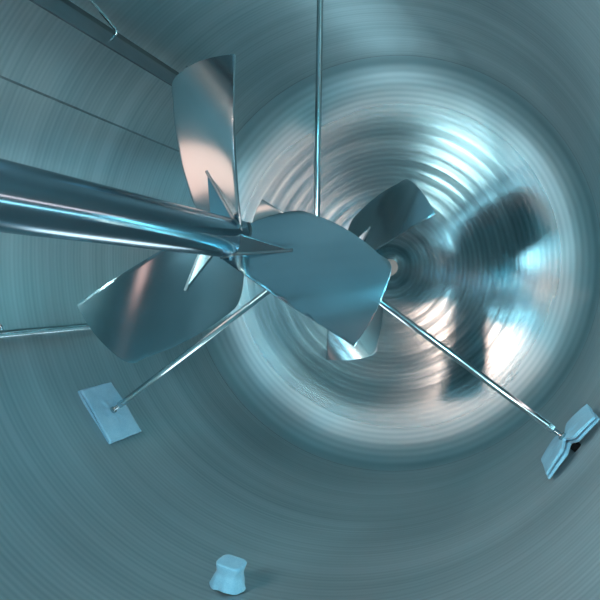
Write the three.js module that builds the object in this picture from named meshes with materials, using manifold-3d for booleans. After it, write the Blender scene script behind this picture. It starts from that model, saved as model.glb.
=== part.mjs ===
// Vertical stainless steel storage tank with a side-braced two-impeller agitator.
// Millimetres, +Z up. The origin is on the tank's axis, at floor level.
// The manway is over -Y. Bearings are in degrees, anticlockwise from +X, seen from above.
import * as THREE from 'three';
import * as BufferGeometryUtils from 'three/addons/utils/BufferGeometryUtils.js';
import Module from 'manifold-3d';

const wasm = await Module();
wasm.setup();

// Tank body
const INNER_RADIUS = 1200;
const SHELL_THICKNESS = 5;
const HEAD_THICKNESS = 6;
const CYLINDER_HEIGHT = 3400;
const SHELL_SEGMENTS = 8;
const SHELL_STEPS = 6;           // facets across one shell segment
const HEAD_STEPS = 48;           // facets round a head
const CROWN_STEPS = 5;           // facets from a head's apex to its knuckle
const KNUCKLE_STEPS = 4;
const CROWN_RADIUS = 2400;       // torispherical head: crown as deep as the bore is wide
const KNUCKLE_RADIUS = 240;      // and a knuckle of a tenth of it
const BOTTOM_APEX_Z = 700;       // inside of the dished bottom, on the axis
const TOP_HEAD_BEARINGS = [0, 90, 180, 270];  // middles of the top head's quarters
const GAP = 0.3;                 // clearance between pieces that touch

// Manway and nozzles on the top head: place, bore and height
const MANWAY_BEARING = 270;
const MANWAY_OFFSET = 745;
const MANWAY_OUTER_RADIUS = 254;
const MANWAY_WALL = 6;
const MANWAY_FLANGE_RADIUS = 310;
const MANWAY_FLANGE_THICKNESS = 24;
const MANWAY_RISE = 180;         // flange face above the head where the neck stands
const MANWAY_INSET = 12;         // neck below the head at its outer side
const NOZZLES = [
  { name: 'inlet_nozzle', bearing: 158, offset: 760, radius: 57, flange: 110, rise: 170 },
  { name: 'vent_nozzle', bearing: 30, offset: 700, radius: 44.5, flange: 100, rise: 170 },
  { name: 'spray_nozzle', bearing: 205, offset: 620, radius: 30, flange: 82.5, rise: 160 },
];
const NOZZLE_WALL = 4;
const NOZZLE_FLANGE_THICKNESS = 20;
const NOZZLE_INSET = 5;

// Bottom outlet
const OUTLET_RADIUS = 57;
const OUTLET_FLANGE_RADIUS = 110;
const OUTLET_LENGTH = 190;

// Agitator, carried from the centre nozzle on the top head
const SHAFT_RADIUS = 55;
const SHAFT_BOTTOM_Z = 1740;
const BLADE_TIP_RADIUS = 467;
const BLADE_THICKNESS = 8;
const BLADE_LEADING_OFFSET = -52;  // the straight edge passes the axis at this distance
const BLADE_TIP_ANGLE = 16.5;      // where the tip's arc ends
const BLADE_WIDTH = [-62, 190];    // sides of the sheet that a blade is cut from
const BLADE_LENGTH_STEPS = 10;
const BLADE_WIDTH_STEPS = 5;
const BLADE_SURFACE = { rise: 19.5, slope: 0.4209, arch: -0.4762, pitch: -0.8345, twist: 1.4527, camber: -0.8528 };
const BLADE_TIP_CURVE = [[436, 171], [420, 167], [390, 167]];
const BLADE_TRAILING_CURVE = [[290, 186], [210, 178], [120, 159]];
const BLADE_ROOT_CURVE = [[80, 144], [20, 69]];
const GUSSET_THICKNESS = 8;
const GUSSET_HEIGHT = 70;          // above the blade, at the shaft
const GUSSET_FOOT = [37, -35];     // along and across the blade, at the shaft
const GUSSET_TOP = [45, 32];
const GUSSET_TIP = [183, 63];
const IMPELLERS = [
  { name: 'upper', hubZ: 3187, bearing: 10.3 },
  { name: 'lower', hubZ: 1894, bearing: 70.2 },
];

// Centre nozzle and drive
const CENTRE_NOZZLE_RADIUS = 109.5;
const CENTRE_FLANGE_RADIUS = 170;
const CENTRE_FLANGE_THICKNESS = 24;
const CENTRE_NOZZLE_RISE = 130;
const CENTRE_NOZZLE_INSET = 8;
const STOOL_HEIGHT = 300;
const STOOL_PLATE = 20;
const STOOL_POST_RADIUS = 16;
const STOOL_POST_OFFSET = 125;
const STOOL_POST_BEARINGS = [45, 135, 225, 315];
const STOOL_BORE_CLEARANCE = 6;
const GEARBOX_SIZE = 280;
const GEARBOX_HEIGHT = 220;
const SOCKET_DEPTH = 60;
const SOCKET_END_PLAY = 1;
const BEARING_CLEARANCE = 0.5;
const MOTOR_RADIUS = 105;
const MOTOR_HEIGHT = 320;
const MOTOR_FLANGE_RADIUS = 125;
const MOTOR_FLANGE_THICKNESS = 16;
const TERMINAL_BOX = [90, 120, 130];  // out from the motor, across and up
const TERMINAL_BOX_RISE = 170;

// Side braces of the shaft: a collar and three rods to pads on the wall
const BRACE_Z = 2377;
const BRACES = [
  { bearing: 10, padThickness: 20, padDrop: 0 },
  { bearing: 136.7, padThickness: 20, padDrop: 0 },
  { bearing: 244.9, padThickness: 50, padDrop: 25 },
];
const COLLAR_INNER_RADIUS = 60;
const COLLAR_OUTER_RADIUS = 82;
const COLLAR_HEIGHT = 90;
const BRACE_RADIUS = 13;
const NUT_RADIUS = 16;
const NUT_LENGTH = 24;
const STUD_RADIUS = 9;
const STUD_LENGTH = 32;
const FOOT_RADIUS = 15;
const FOOT_THICKNESS = 12;
const PAD_WIDTH = 265;
const PAD_HEIGHT = 250;
const WELD_LAP = 5;              // how far joined solids run into each other

// Baffle on bent round bars
const BAFFLE_BEARING = 51.7;
const BAFFLE_INNER_RADIUS = 940;
const BAFFLE_OUTER_RADIUS = 1170;
const BAFFLE_THICKNESS = 6;
const BAFFLE_BOTTOM_Z = 1950;
const BAFFLE_TOP_Z = 4420;
const BAFFLE_BRACKET_HEIGHTS = [2045, 2785, 3525, 4265];
const BAFFLE_BRACKET_REACH = 1030;  // distance of the bend from the axis
const BRACKET_RADIUS = 6;
const BRACKET_OFFSET = 41;          // from the plate or pipe to the bar's long leg

// Dip pipe on like bars
const DIP_PIPE_BEARING = 117.3;
const DIP_PIPE_OFFSET = 1100;
const DIP_PIPE_RADIUS = 17;
const DIP_PIPE_BORE = 14;
const DIP_PIPE_BOTTOM_Z = 1300;
const DIP_PIPE_RISE = 360;        // how far it stands over the shell's top edge
const DIP_BRACKET_HEIGHTS = [1480, 2900, 4250];

// Instrument stub through the wall
const STUB_BEARING = 181.5;
const STUB_Z = 2800;
const STUB_RADIUS = 30;
const STUB_WALL = 5;
const STUB_INSIDE = 60;
const STUB_OUTSIDE = 90;
const STUB_END = 12;
const WRAP_RADIUS = 66;
const WRAP_END = 35;             // cloth over the stub's end

// Legs
const LEG_BEARINGS = [0, 90, 180, 270];
const LEG_CENTRE_RADIUS = 1257;
const LEG_RADIUS = 84;
const LEG_WALL = 6;
const LEG_TOP_Z = 1560;
const LEG_CLEARANCE = 3;         // between the pipe's cut side and the shell
const FOOT_PLATE = 260;
const FOOT_PLATE_THICKNESS = 16;
const FOOT_PLATE_HOLE = 45;
const DOUBLER_THICKNESS = 8;
const DOUBLER_HALF_ANGLE = 7;
const DOUBLER_BOTTOM_Z = 1190;
const DOUBLER_MARGIN = 30;       // above the pipe

// Sizes that follow
const OUTER_RADIUS = INNER_RADIUS + SHELL_THICKNESS;
const HEAD_DEPTH = headDepth(CROWN_RADIUS, KNUCKLE_RADIUS);
const SHELL_BOTTOM_Z = BOTTOM_APEX_Z + HEAD_DEPTH;
const SHELL_TOP_Z = SHELL_BOTTOM_Z + CYLINDER_HEIGHT;
const TOP_APEX_Z = SHELL_TOP_Z + HEAD_DEPTH;
const BEYOND = 50;               // cutting solids run this far past what they cut

// Materials
const ground = new THREE.MeshStandardMaterial({ color: 0x9fb4b8, roughness: 0.35, metalness: 1 });
const polished = new THREE.MeshStandardMaterial({ color: 0xb7c6ca, roughness: 0.18, metalness: 1 });
const paint = new THREE.MeshStandardMaterial({ color: 0x5d7480, roughness: 0.45, metalness: 0.1 });
const cloth = new THREE.MeshStandardMaterial({ color: 0x8fc3dd, roughness: 0.9, metalness: 0 });

const vessel = new THREE.Group();
const agitator = new THREE.Group();

// Depth of a torispherical head, from its tangent line to its apex.
function headDepth(crown, knuckle) {
  const centre = INNER_RADIUS - knuckle;
  return crown - Math.sqrt((crown - knuckle) ** 2 - centre ** 2);
}

function radians(degrees) {
  return degrees * Math.PI / 180;
}

// A point at a bearing and a distance from the axis, moved sideways by an offset.
function polar(bearing, distance, z, offset = 0) {
  const cos = Math.cos(radians(bearing));
  const sin = Math.sin(radians(bearing));
  return new THREE.Vector3(distance * cos - offset * sin, distance * sin + offset * cos, z);
}

// Solid of a closed geometry, with its matching corners merged.
function solid(geometry, matrix) {
  const plain = geometry.clone();
  if (matrix) plain.applyMatrix4(matrix);
  plain.deleteAttribute('normal');
  plain.deleteAttribute('uv');
  const merged = BufferGeometryUtils.mergeVertices(plain, 1e-3);
  const vertProperties = new Float32Array(merged.attributes.position.array);
  const triVerts = new Uint32Array(merged.index.array);
  return new wasm.Manifold(new wasm.Mesh({ numProp: 3, vertProperties, triVerts }));
}

// Geometry of a solid.
function geometryOf(body) {
  const mesh = body.getMesh();
  const geometry = new THREE.BufferGeometry();
  geometry.setAttribute('position', new THREE.BufferAttribute(new Float32Array(mesh.vertProperties), 3));
  geometry.setIndex(new THREE.BufferAttribute(new Uint32Array(mesh.triVerts), 1));
  return geometry;
}

function place(group, name, body, material) {
  const mesh = new THREE.Mesh(geometryOf(body), material);
  mesh.name = name;
  group.add(mesh);
}

function union(bodies) {
  return bodies.reduce((whole, body) => whole.add(body));
}

// Upright cylinder between two heights, its centre at a point of the plan.
function post(radius, bottom, top, x = 0, y = 0, steps = 32) {
  const geometry = new THREE.CylinderGeometry(radius, radius, top - bottom, steps);
  geometry.rotateX(Math.PI / 2);
  geometry.translate(x, y, (bottom + top) / 2);
  return solid(geometry);
}

function pipe(outer, inner, bottom, top, x = 0, y = 0, steps = 32) {
  return post(outer, bottom, top, x, y, steps).subtract(post(inner, bottom - 1, top + 1, x, y, steps));
}

// Round bar from one point to another.
function bar(radius, from, to, steps = 16) {
  const axis = to.clone().sub(from);
  const geometry = new THREE.CylinderGeometry(radius, radius, axis.length(), steps);
  const turn = new THREE.Quaternion().setFromUnitVectors(new THREE.Vector3(0, 1, 0), axis.clone().normalize());
  const middle = from.clone().add(to).multiplyScalar(0.5);
  return solid(geometry, new THREE.Matrix4().compose(middle, turn, new THREE.Vector3(1, 1, 1)));
}

// Block with its X side along a bearing, its middle at a distance from the axis.
function block(length, width, height, bearing, distance, z) {
  const geometry = new THREE.BoxGeometry(length, width, height);
  const middle = polar(bearing, distance, z);
  const turn = new THREE.Matrix4().makeRotationZ(radians(bearing)).setPosition(middle);
  return solid(geometry, turn);
}

// Solid between two radii, two heights and two bearings.
function arcPlate(inner, outer, bottom, top, from, to, steps) {
  const shape = new THREE.Shape();
  for (let i = 0; i <= steps; i++) {
    const angle = radians(from + (to - from) * i / steps);
    const point = [outer * Math.cos(angle), outer * Math.sin(angle)];
    if (i === 0) shape.moveTo(...point);
    else shape.lineTo(...point);
  }
  for (let i = steps; i >= 0; i--) {
    const angle = radians(from + (to - from) * i / steps);
    shape.lineTo(inner * Math.cos(angle), inner * Math.sin(angle));
  }
  const geometry = new THREE.ExtrudeGeometry(shape, { depth: top - bottom, bevelEnabled: false });
  geometry.translate(0, 0, bottom);
  return solid(geometry);
}

// Half outline of a torispherical surface, as [radius, height above the tangent line].
function headProfile(offset) {
  const centre = INNER_RADIUS - KNUCKLE_RADIUS;
  const crown = CROWN_RADIUS + offset;
  const knuckle = KNUCKLE_RADIUS + offset;
  const drop = Math.sqrt((CROWN_RADIUS - KNUCKLE_RADIUS) ** 2 - centre ** 2);
  const join = Math.asin(centre / (CROWN_RADIUS - KNUCKLE_RADIUS));
  const points = [];
  for (let i = 0; i <= CROWN_STEPS; i++) {
    const angle = join * i / CROWN_STEPS;
    points.push([crown * Math.sin(angle), crown * Math.cos(angle) - drop]);
  }
  for (let i = 1; i <= KNUCKLE_STEPS; i++) {
    const angle = join + (Math.PI / 2 - join) * i / KNUCKLE_STEPS;
    points.push([centre + knuckle * Math.sin(angle), knuckle * Math.cos(angle)]);
  }
  return points;
}

// Dished head, open towards -Z, with its tangent line at height 0.
function headSolid() {
  const outline = [...headProfile(HEAD_THICKNESS), ...headProfile(0).reverse()];
  const points = outline.map(([r, z]) => new THREE.Vector2(r, z));
  points.push(points[0].clone());
  const geometry = new THREE.LatheGeometry(points.reverse(), HEAD_STEPS);
  geometry.rotateX(Math.PI / 2);
  return solid(geometry);
}

// Solid that fills a head, grown by an offset.
function headPlug(offset) {
  const points = [...headProfile(offset).map(([r, z]) => new THREE.Vector2(r, z)), new THREE.Vector2(0, 0)];
  const geometry = new THREE.LatheGeometry(points.reverse(), HEAD_STEPS);
  geometry.rotateX(Math.PI / 2);
  return solid(geometry);
}

// Height of a head's inside above its tangent line, at a distance from the axis.
function headHeight(distance) {
  return Math.sqrt(CROWN_RADIUS ** 2 - distance ** 2) - CROWN_RADIUS + HEAD_DEPTH;
}

// Round bar bent once: sideways from a fitting to the bend, then out to the wall.
function bentBracket(bearing, reach, z) {
  const fitting = polar(bearing, reach, z);
  const bend = polar(bearing, reach, z, -BRACKET_OFFSET);
  const wall = polar(bearing, OUTER_RADIUS, z, -BRACKET_OFFSET);
  const elbow = new THREE.SphereGeometry(BRACKET_RADIUS, 12, 6);
  elbow.translate(bend.x, bend.y, bend.z);
  return union([bar(BRACKET_RADIUS, fitting, bend, 12), solid(elbow), bar(BRACKET_RADIUS, bend, wall, 12)]);
}

// Room inside the shell, facet for facet, less the clearance of what seats on the wall.
const room = post(INNER_RADIUS - GAP, SHELL_BOTTOM_Z, TOP_APEX_Z + BEYOND, 0, 0, SHELL_SEGMENTS * SHELL_STEPS);

// Shell
const stubClear = bar(STUB_RADIUS + GAP, polar(STUB_BEARING, INNER_RADIUS - BEYOND, STUB_Z),
  polar(STUB_BEARING, OUTER_RADIUS + BEYOND, STUB_Z), 24);
for (let i = 0; i < SHELL_SEGMENTS; i++) {
  const span = 360 / SHELL_SEGMENTS;
  const margin = 180 / Math.PI * GAP / 2 / INNER_RADIUS;
  const wall = arcPlate(INNER_RADIUS, OUTER_RADIUS, SHELL_BOTTOM_Z + GAP, SHELL_TOP_Z - GAP,
    i * span + margin, (i + 1) * span - margin, SHELL_STEPS);
  place(vessel, `shell_${i + 1}`, wall.subtract(stubClear), ground);
}

// Top head in quarters, with holes for all that stands on it
const headClear = (radius, at, steps) => post(radius + GAP, SHELL_TOP_Z, TOP_APEX_Z + BEYOND, at.x, at.y, steps);
const centre = polar(0, 0, 0);
const manway = polar(MANWAY_BEARING, MANWAY_OFFSET, 0);
const dip = polar(DIP_PIPE_BEARING, DIP_PIPE_OFFSET, 0);
const topHead = solid(geometryOf(headSolid()), new THREE.Matrix4().makeTranslation(0, 0, SHELL_TOP_Z))
  .subtract(union([
    headClear(MANWAY_OUTER_RADIUS, manway, 48),
    headClear(CENTRE_NOZZLE_RADIUS, centre),
    headClear(DIP_PIPE_RADIUS, dip, 16),
    ...NOZZLES.map(({ bearing, offset, radius }) => headClear(radius, polar(bearing, offset, 0))),
  ]));
TOP_HEAD_BEARINGS.forEach((bearing, i) => {
  const side = OUTER_RADIUS + BEYOND;
  const quarter = new THREE.BoxGeometry(side, side, TOP_APEX_Z + BEYOND);
  quarter.translate((side + GAP) / 2, (side + GAP) / 2, (TOP_APEX_Z + BEYOND) / 2);
  quarter.rotateZ(radians(bearing - 45));
  place(vessel, `top_head_${i + 1}`, topHead.intersect(solid(quarter)), ground);
});

// Bottom head
const inverted = new THREE.Matrix4().makeRotationX(Math.PI).setPosition(0, 0, SHELL_BOTTOM_Z);
const outletClear = post(OUTLET_RADIUS + GAP, BOTTOM_APEX_Z - BEYOND, BOTTOM_APEX_Z + BEYOND);
place(vessel, 'bottom_head', solid(geometryOf(headSolid()), inverted).subtract(outletClear), ground);

// Manway neck with its flange
const manwayFaceZ = SHELL_TOP_Z + headHeight(MANWAY_OFFSET) + MANWAY_RISE;
const manwayBore = MANWAY_OUTER_RADIUS - MANWAY_WALL;
const manwayBottomZ = SHELL_TOP_Z + headHeight(MANWAY_OFFSET + MANWAY_OUTER_RADIUS) - MANWAY_INSET;
const manwayNeck = pipe(MANWAY_OUTER_RADIUS, manwayBore, manwayBottomZ, manwayFaceZ, manway.x, manway.y, 48);
const manwayFlange = pipe(MANWAY_FLANGE_RADIUS, manwayBore, manwayFaceZ - MANWAY_FLANGE_THICKNESS, manwayFaceZ,
  manway.x, manway.y, 48);
place(vessel, 'manway_neck', manwayNeck.add(manwayFlange), polished);

// Small nozzles on the top head
for (const { name, bearing, offset, radius, flange, rise } of NOZZLES) {
  const at = polar(bearing, offset, 0);
  const bore = radius - NOZZLE_WALL;
  const bottom = SHELL_TOP_Z + headHeight(offset + radius) - NOZZLE_INSET;
  const top = SHELL_TOP_Z + headHeight(offset) + rise;
  const neck = pipe(radius, bore, bottom, top, at.x, at.y, 24);
  const ring = pipe(flange, bore, top - NOZZLE_FLANGE_THICKNESS, top, at.x, at.y, 24);
  place(vessel, name, neck.add(ring), polished);
}

// Bottom outlet
const outletBore = OUTLET_RADIUS - NOZZLE_WALL;
const outletBottom = BOTTOM_APEX_Z - OUTLET_LENGTH;
const outletFlange = pipe(OUTLET_FLANGE_RADIUS, outletBore, outletBottom, outletBottom + NOZZLE_FLANGE_THICKNESS);
const outletNeck = pipe(OUTLET_RADIUS, outletBore, outletBottom, BOTTOM_APEX_Z);
place(vessel, 'outlet_nozzle', outletNeck.add(outletFlange), polished);

// Centre nozzle and the drive on it
const centreFaceZ = TOP_APEX_Z + CENTRE_NOZZLE_RISE;
const centreBore = CENTRE_NOZZLE_RADIUS - MANWAY_WALL;
const centreNeck = pipe(CENTRE_NOZZLE_RADIUS, centreBore, TOP_APEX_Z - CENTRE_NOZZLE_INSET, centreFaceZ);
const centreFlange = pipe(CENTRE_FLANGE_RADIUS, centreBore, centreFaceZ - CENTRE_FLANGE_THICKNESS, centreFaceZ);
place(vessel, 'centre_nozzle', centreNeck.add(centreFlange), polished);

const stoolBottom = centreFaceZ + GAP;
const stoolTop = stoolBottom + STOOL_HEIGHT;
const stoolBore = SHAFT_RADIUS + STOOL_BORE_CLEARANCE;
const stoolPosts = STOOL_POST_BEARINGS.map((bearing) => {
  const at = polar(bearing, STOOL_POST_OFFSET, 0);
  return post(STOOL_POST_RADIUS, stoolBottom + STOOL_PLATE / 2, stoolTop - STOOL_PLATE / 2, at.x, at.y, 16);
});
place(vessel, 'drive_stool', union([
  pipe(CENTRE_FLANGE_RADIUS, stoolBore, stoolBottom, stoolBottom + STOOL_PLATE),
  pipe(CENTRE_FLANGE_RADIUS, stoolBore, stoolTop - STOOL_PLATE, stoolTop),
  ...stoolPosts,
]), paint);

const gearboxBottom = stoolTop + GAP;
const gearboxTop = gearboxBottom + GEARBOX_HEIGHT;
const gearboxBox = block(GEARBOX_SIZE, GEARBOX_SIZE, GEARBOX_HEIGHT, 0, 0, (gearboxBottom + gearboxTop) / 2);
const gearboxSocket = post(SHAFT_RADIUS + BEARING_CLEARANCE, gearboxBottom - 1, gearboxBottom + SOCKET_DEPTH);
place(vessel, 'gearbox', gearboxBox.subtract(gearboxSocket), paint);

const motorBottom = gearboxTop + GAP;
const [boxReach, boxWidth, boxHeight] = TERMINAL_BOX;
place(vessel, 'motor', union([
  post(MOTOR_FLANGE_RADIUS, motorBottom, motorBottom + MOTOR_FLANGE_THICKNESS),
  post(MOTOR_RADIUS, motorBottom + MOTOR_FLANGE_THICKNESS / 2, motorBottom + MOTOR_HEIGHT),
  block(boxReach, boxWidth, boxHeight, 0, MOTOR_RADIUS, motorBottom + TERMINAL_BOX_RISE),
]), paint);

// Legs: pipe coped to the shell and the bottom head, doubler on the shell and foot plate
const shellClear = post(OUTER_RADIUS + LEG_CLEARANCE, SHELL_BOTTOM_Z, LEG_TOP_Z + BEYOND, 0, 0, 120)
  .add(solid(geometryOf(headPlug(HEAD_THICKNESS + LEG_CLEARANCE)), inverted));
LEG_BEARINGS.forEach((bearing, i) => {
  const at = polar(bearing, LEG_CENTRE_RADIUS, 0);
  const tube = post(LEG_RADIUS, FOOT_PLATE_THICKNESS / 2, LEG_TOP_Z, at.x, at.y, 24);
  const bore = post(LEG_RADIUS - LEG_WALL, -1, LEG_TOP_Z - LEG_WALL, at.x, at.y, 24);
  const foot = block(FOOT_PLATE, FOOT_PLATE, FOOT_PLATE_THICKNESS, bearing, LEG_CENTRE_RADIUS, FOOT_PLATE_THICKNESS / 2);
  const drain = post(FOOT_PLATE_HOLE, -1, FOOT_PLATE_THICKNESS + 1, at.x, at.y, 24);
  const doubler = arcPlate(OUTER_RADIUS + GAP, OUTER_RADIUS + DOUBLER_THICKNESS, DOUBLER_BOTTOM_Z,
    LEG_TOP_Z + DOUBLER_MARGIN, bearing - DOUBLER_HALF_ANGLE, bearing + DOUBLER_HALF_ANGLE, 2);
  const pipeWall = tube.subtract(bore).subtract(shellClear);
  place(vessel, `leg_${i + 1}`, pipeWall.add(doubler).add(foot.subtract(drain)), ground);
});

// Baffle, welded to bent bars that reach the wall
const bafflePlate = block(BAFFLE_OUTER_RADIUS - BAFFLE_INNER_RADIUS, BAFFLE_THICKNESS, BAFFLE_TOP_Z - BAFFLE_BOTTOM_Z,
  BAFFLE_BEARING, (BAFFLE_INNER_RADIUS + BAFFLE_OUTER_RADIUS) / 2, (BAFFLE_TOP_Z + BAFFLE_BOTTOM_Z) / 2);
const baffleBars = BAFFLE_BRACKET_HEIGHTS.map((z) => bentBracket(BAFFLE_BEARING, BAFFLE_BRACKET_REACH, z));
place(vessel, 'baffle', union([bafflePlate, ...baffleBars]).intersect(room), ground);

// Dip pipe, welded to like bars
const dipTop = SHELL_TOP_Z + DIP_PIPE_RISE;
const dipTube = post(DIP_PIPE_RADIUS, DIP_PIPE_BOTTOM_Z, dipTop, dip.x, dip.y, 16);
const dipBore = post(DIP_PIPE_BORE, DIP_PIPE_BOTTOM_Z - 1, dipTop + 1, dip.x, dip.y, 16);
const dipBars = DIP_BRACKET_HEIGHTS.map((z) => bentBracket(DIP_PIPE_BEARING, DIP_PIPE_OFFSET, z));
place(vessel, 'dip_pipe', union([dipTube, ...dipBars]).subtract(dipBore).intersect(room), polished);

// Instrument stub through the wall and the cloth wrapped over its inner end
const onStub = (distance) => polar(STUB_BEARING, distance, STUB_Z);
const stubInner = INNER_RADIUS - STUB_INSIDE;
const stubOuter = OUTER_RADIUS + STUB_OUTSIDE;
const stub = bar(STUB_RADIUS, onStub(stubInner), onStub(stubOuter), 24)
  .subtract(bar(STUB_RADIUS - STUB_WALL, onStub(stubInner + STUB_END), onStub(stubOuter + 1), 24));
place(vessel, 'instrument_stub', stub, polished);
const wrap = bar(WRAP_RADIUS, onStub(stubInner - WRAP_END), onStub(OUTER_RADIUS), 12)
  .intersect(room)
  .subtract(bar(STUB_RADIUS + GAP, onStub(stubInner - GAP), onStub(stubOuter), 24));
place(vessel, 'wrap_cloth', wrap, cloth);

// Shaft braces
const collarRing = pipe(COLLAR_OUTER_RADIUS, COLLAR_INNER_RADIUS, BRACE_Z - COLLAR_HEIGHT / 2, BRACE_Z + COLLAR_HEIGHT / 2);
place(vessel, 'brace_collar', collarRing, polished);
const collarClear = post(COLLAR_OUTER_RADIUS + GAP, BRACE_Z - COLLAR_HEIGHT, BRACE_Z + COLLAR_HEIGHT);
const wallDepth = INNER_RADIUS - Math.sqrt(INNER_RADIUS ** 2 - (PAD_WIDTH / 2) ** 2);
BRACES.forEach(({ bearing, padThickness, padDrop }, i) => {
  const onRod = (distance) => polar(bearing, distance, BRACE_Z);
  const padFace = INNER_RADIUS - wallDepth - padThickness;
  const footStart = padFace - GAP - FOOT_THICKNESS;
  const nutEnd = footStart - STUD_LENGTH;
  const rod = union([
    bar(BRACE_RADIUS, onRod(COLLAR_OUTER_RADIUS - WELD_LAP), onRod(nutEnd - WELD_LAP)),
    bar(NUT_RADIUS, onRod(nutEnd - NUT_LENGTH), onRod(nutEnd), 6),
    bar(STUD_RADIUS, onRod(nutEnd - WELD_LAP), onRod(footStart + WELD_LAP)),
    bar(FOOT_RADIUS, onRod(footStart), onRod(padFace - GAP), 24),
  ]);
  place(vessel, `brace_rod_${i + 1}`, rod.subtract(collarClear), polished);
  const padDepth = OUTER_RADIUS - padFace;
  const pad = block(padDepth, PAD_WIDTH, PAD_HEIGHT, bearing, padFace + padDepth / 2, BRACE_Z - padDrop);
  place(vessel, `brace_pad_${i + 1}`, pad.intersect(room), cloth);
});

// Agitator shaft
const shaftTop = gearboxBottom + SOCKET_DEPTH - SOCKET_END_PLAY;
place(agitator, 'agitator_shaft', post(SHAFT_RADIUS, SHAFT_BOTTOM_Z, shaftTop), polished);

// Height of a blade's middle surface over its hub: along its straight edge and across it.
// The blade arches along its length, and its pitch eases towards the tip.
function bladeHeight(along, across) {
  const { rise, slope, arch, pitch, twist, camber } = BLADE_SURFACE;
  const l = along / 1000;
  const a = across / 1000;
  return rise + slope * along + arch * along * l + (pitch + twist * l) * across + camber * across * a;
}

function onBlade([along, across], above = 0) {
  return new THREE.Vector3(along, across, bladeHeight(along, across) + above);
}

// Outline of a blade in plan, from the shaft along the straight edge and back.
function bladeOutline() {
  const corner = Math.sqrt(BLADE_TIP_RADIUS ** 2 - BLADE_LEADING_OFFSET ** 2);
  const start = Math.atan2(BLADE_LEADING_OFFSET, corner);
  const outline = new THREE.Shape();
  outline.moveTo(0, BLADE_LEADING_OFFSET);
  outline.lineTo(corner, BLADE_LEADING_OFFSET);
  outline.absarc(0, 0, BLADE_TIP_RADIUS, start, radians(BLADE_TIP_ANGLE), false);
  outline.bezierCurveTo(...BLADE_TIP_CURVE.flat());
  outline.bezierCurveTo(...BLADE_TRAILING_CURVE.flat());
  outline.quadraticCurveTo(...BLADE_ROOT_CURVE.flat());
  outline.lineTo(0, SHAFT_RADIUS / 2);
  return outline;
}

// Triangular gusset between a blade's upper face and the shaft.
function gussetSolid() {
  const foot = onBlade(GUSSET_FOOT);
  const side = onBlade(GUSSET_TIP).sub(foot);
  const rise = onBlade(GUSSET_TOP, GUSSET_HEIGHT).sub(foot);
  const xAxis = side.clone().normalize();
  const zAxis = xAxis.clone().cross(rise).normalize();
  const yAxis = zAxis.clone().cross(xAxis);
  const outline = new THREE.Shape();
  outline.moveTo(0, 0);
  outline.lineTo(side.length(), 0);
  outline.lineTo(rise.dot(xAxis), rise.dot(yAxis));
  const plate = new THREE.ExtrudeGeometry(outline, { depth: GUSSET_THICKNESS, bevelEnabled: false });
  plate.translate(0, 0, -GUSSET_THICKNESS / 2);
  return solid(plate, new THREE.Matrix4().makeBasis(xAxis, yAxis, zAxis).setPosition(foot));
}

// One blade with its gusset, along +X, cut to the shaft.
function bladeSolid() {
  const length = BLADE_TIP_RADIUS + BEYOND;
  const [near, far] = BLADE_WIDTH;
  const slab = new THREE.BoxGeometry(length, far - near, BLADE_THICKNESS, BLADE_LENGTH_STEPS, BLADE_WIDTH_STEPS, 1);
  slab.translate(length / 2, (far + near) / 2, 0);
  const corners = slab.attributes.position;
  for (let i = 0; i < corners.count; i++) {
    corners.setZ(i, corners.getZ(i) + bladeHeight(corners.getX(i), corners.getY(i)));
  }
  const cutter = new THREE.ExtrudeGeometry(bladeOutline(), { depth: 2 * length, bevelEnabled: false, curveSegments: 6 });
  cutter.translate(0, 0, -length);
  const plate = solid(slab).intersect(solid(cutter));
  return plate.add(gussetSolid()).subtract(post(SHAFT_RADIUS + GAP, -length, length));
}

const blade = geometryOf(bladeSolid());
for (const { name, hubZ, bearing } of IMPELLERS) {
  for (let i = 0; i < 3; i++) {
    const turn = new THREE.Matrix4().makeRotationZ(radians(bearing + 120 * i)).setPosition(0, 0, hubZ);
    place(agitator, `${name}_blade_${i + 1}`, solid(blade, turn), polished);
  }
}

const tank = new THREE.Group();
tank.add(vessel, agitator);
export default tank;
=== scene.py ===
import bmesh
import bpy
import numpy as np
from mathutils import Matrix, Vector


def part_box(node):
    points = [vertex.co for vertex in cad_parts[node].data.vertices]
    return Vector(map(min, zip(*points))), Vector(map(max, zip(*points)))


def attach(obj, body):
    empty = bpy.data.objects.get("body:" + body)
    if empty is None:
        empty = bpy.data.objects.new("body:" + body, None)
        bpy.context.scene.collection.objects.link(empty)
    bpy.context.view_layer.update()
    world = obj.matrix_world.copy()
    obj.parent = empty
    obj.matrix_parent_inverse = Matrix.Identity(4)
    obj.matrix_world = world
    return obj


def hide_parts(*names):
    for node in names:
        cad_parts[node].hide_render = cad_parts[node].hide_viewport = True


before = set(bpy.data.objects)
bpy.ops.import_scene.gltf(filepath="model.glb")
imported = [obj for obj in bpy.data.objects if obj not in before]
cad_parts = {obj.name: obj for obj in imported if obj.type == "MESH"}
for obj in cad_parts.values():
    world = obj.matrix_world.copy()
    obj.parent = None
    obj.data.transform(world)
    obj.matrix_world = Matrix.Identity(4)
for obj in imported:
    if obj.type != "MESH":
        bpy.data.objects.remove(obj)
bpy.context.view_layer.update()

# Camera
# It looks down into the tank through the manway. Its turn follows from two points of the photograph's frame:
# the one straight below it and the one on the tank's axis at its own height.
FRAME_PIXELS = 600
FOCAL_PIXELS = 640
BELOW_PIXEL = (508, 289)
AXIS_PIXEL = (316.2, 253.8)
SENSOR_WIDTH = 36
CAMERA_PLACE = (0.0, -0.745, 4.837)
NEAREST_SEEN = 0.01


def pixel_ray(pixel):
    """Unit ray of a pixel in the camera's axes, right, down and ahead: (x - c, y - c, f), at length 1."""
    ray = np.array([pixel[0] - FRAME_PIXELS / 2, pixel[1] - FRAME_PIXELS / 2, FOCAL_PIXELS])
    return ray / np.linalg.norm(ray)


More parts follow.
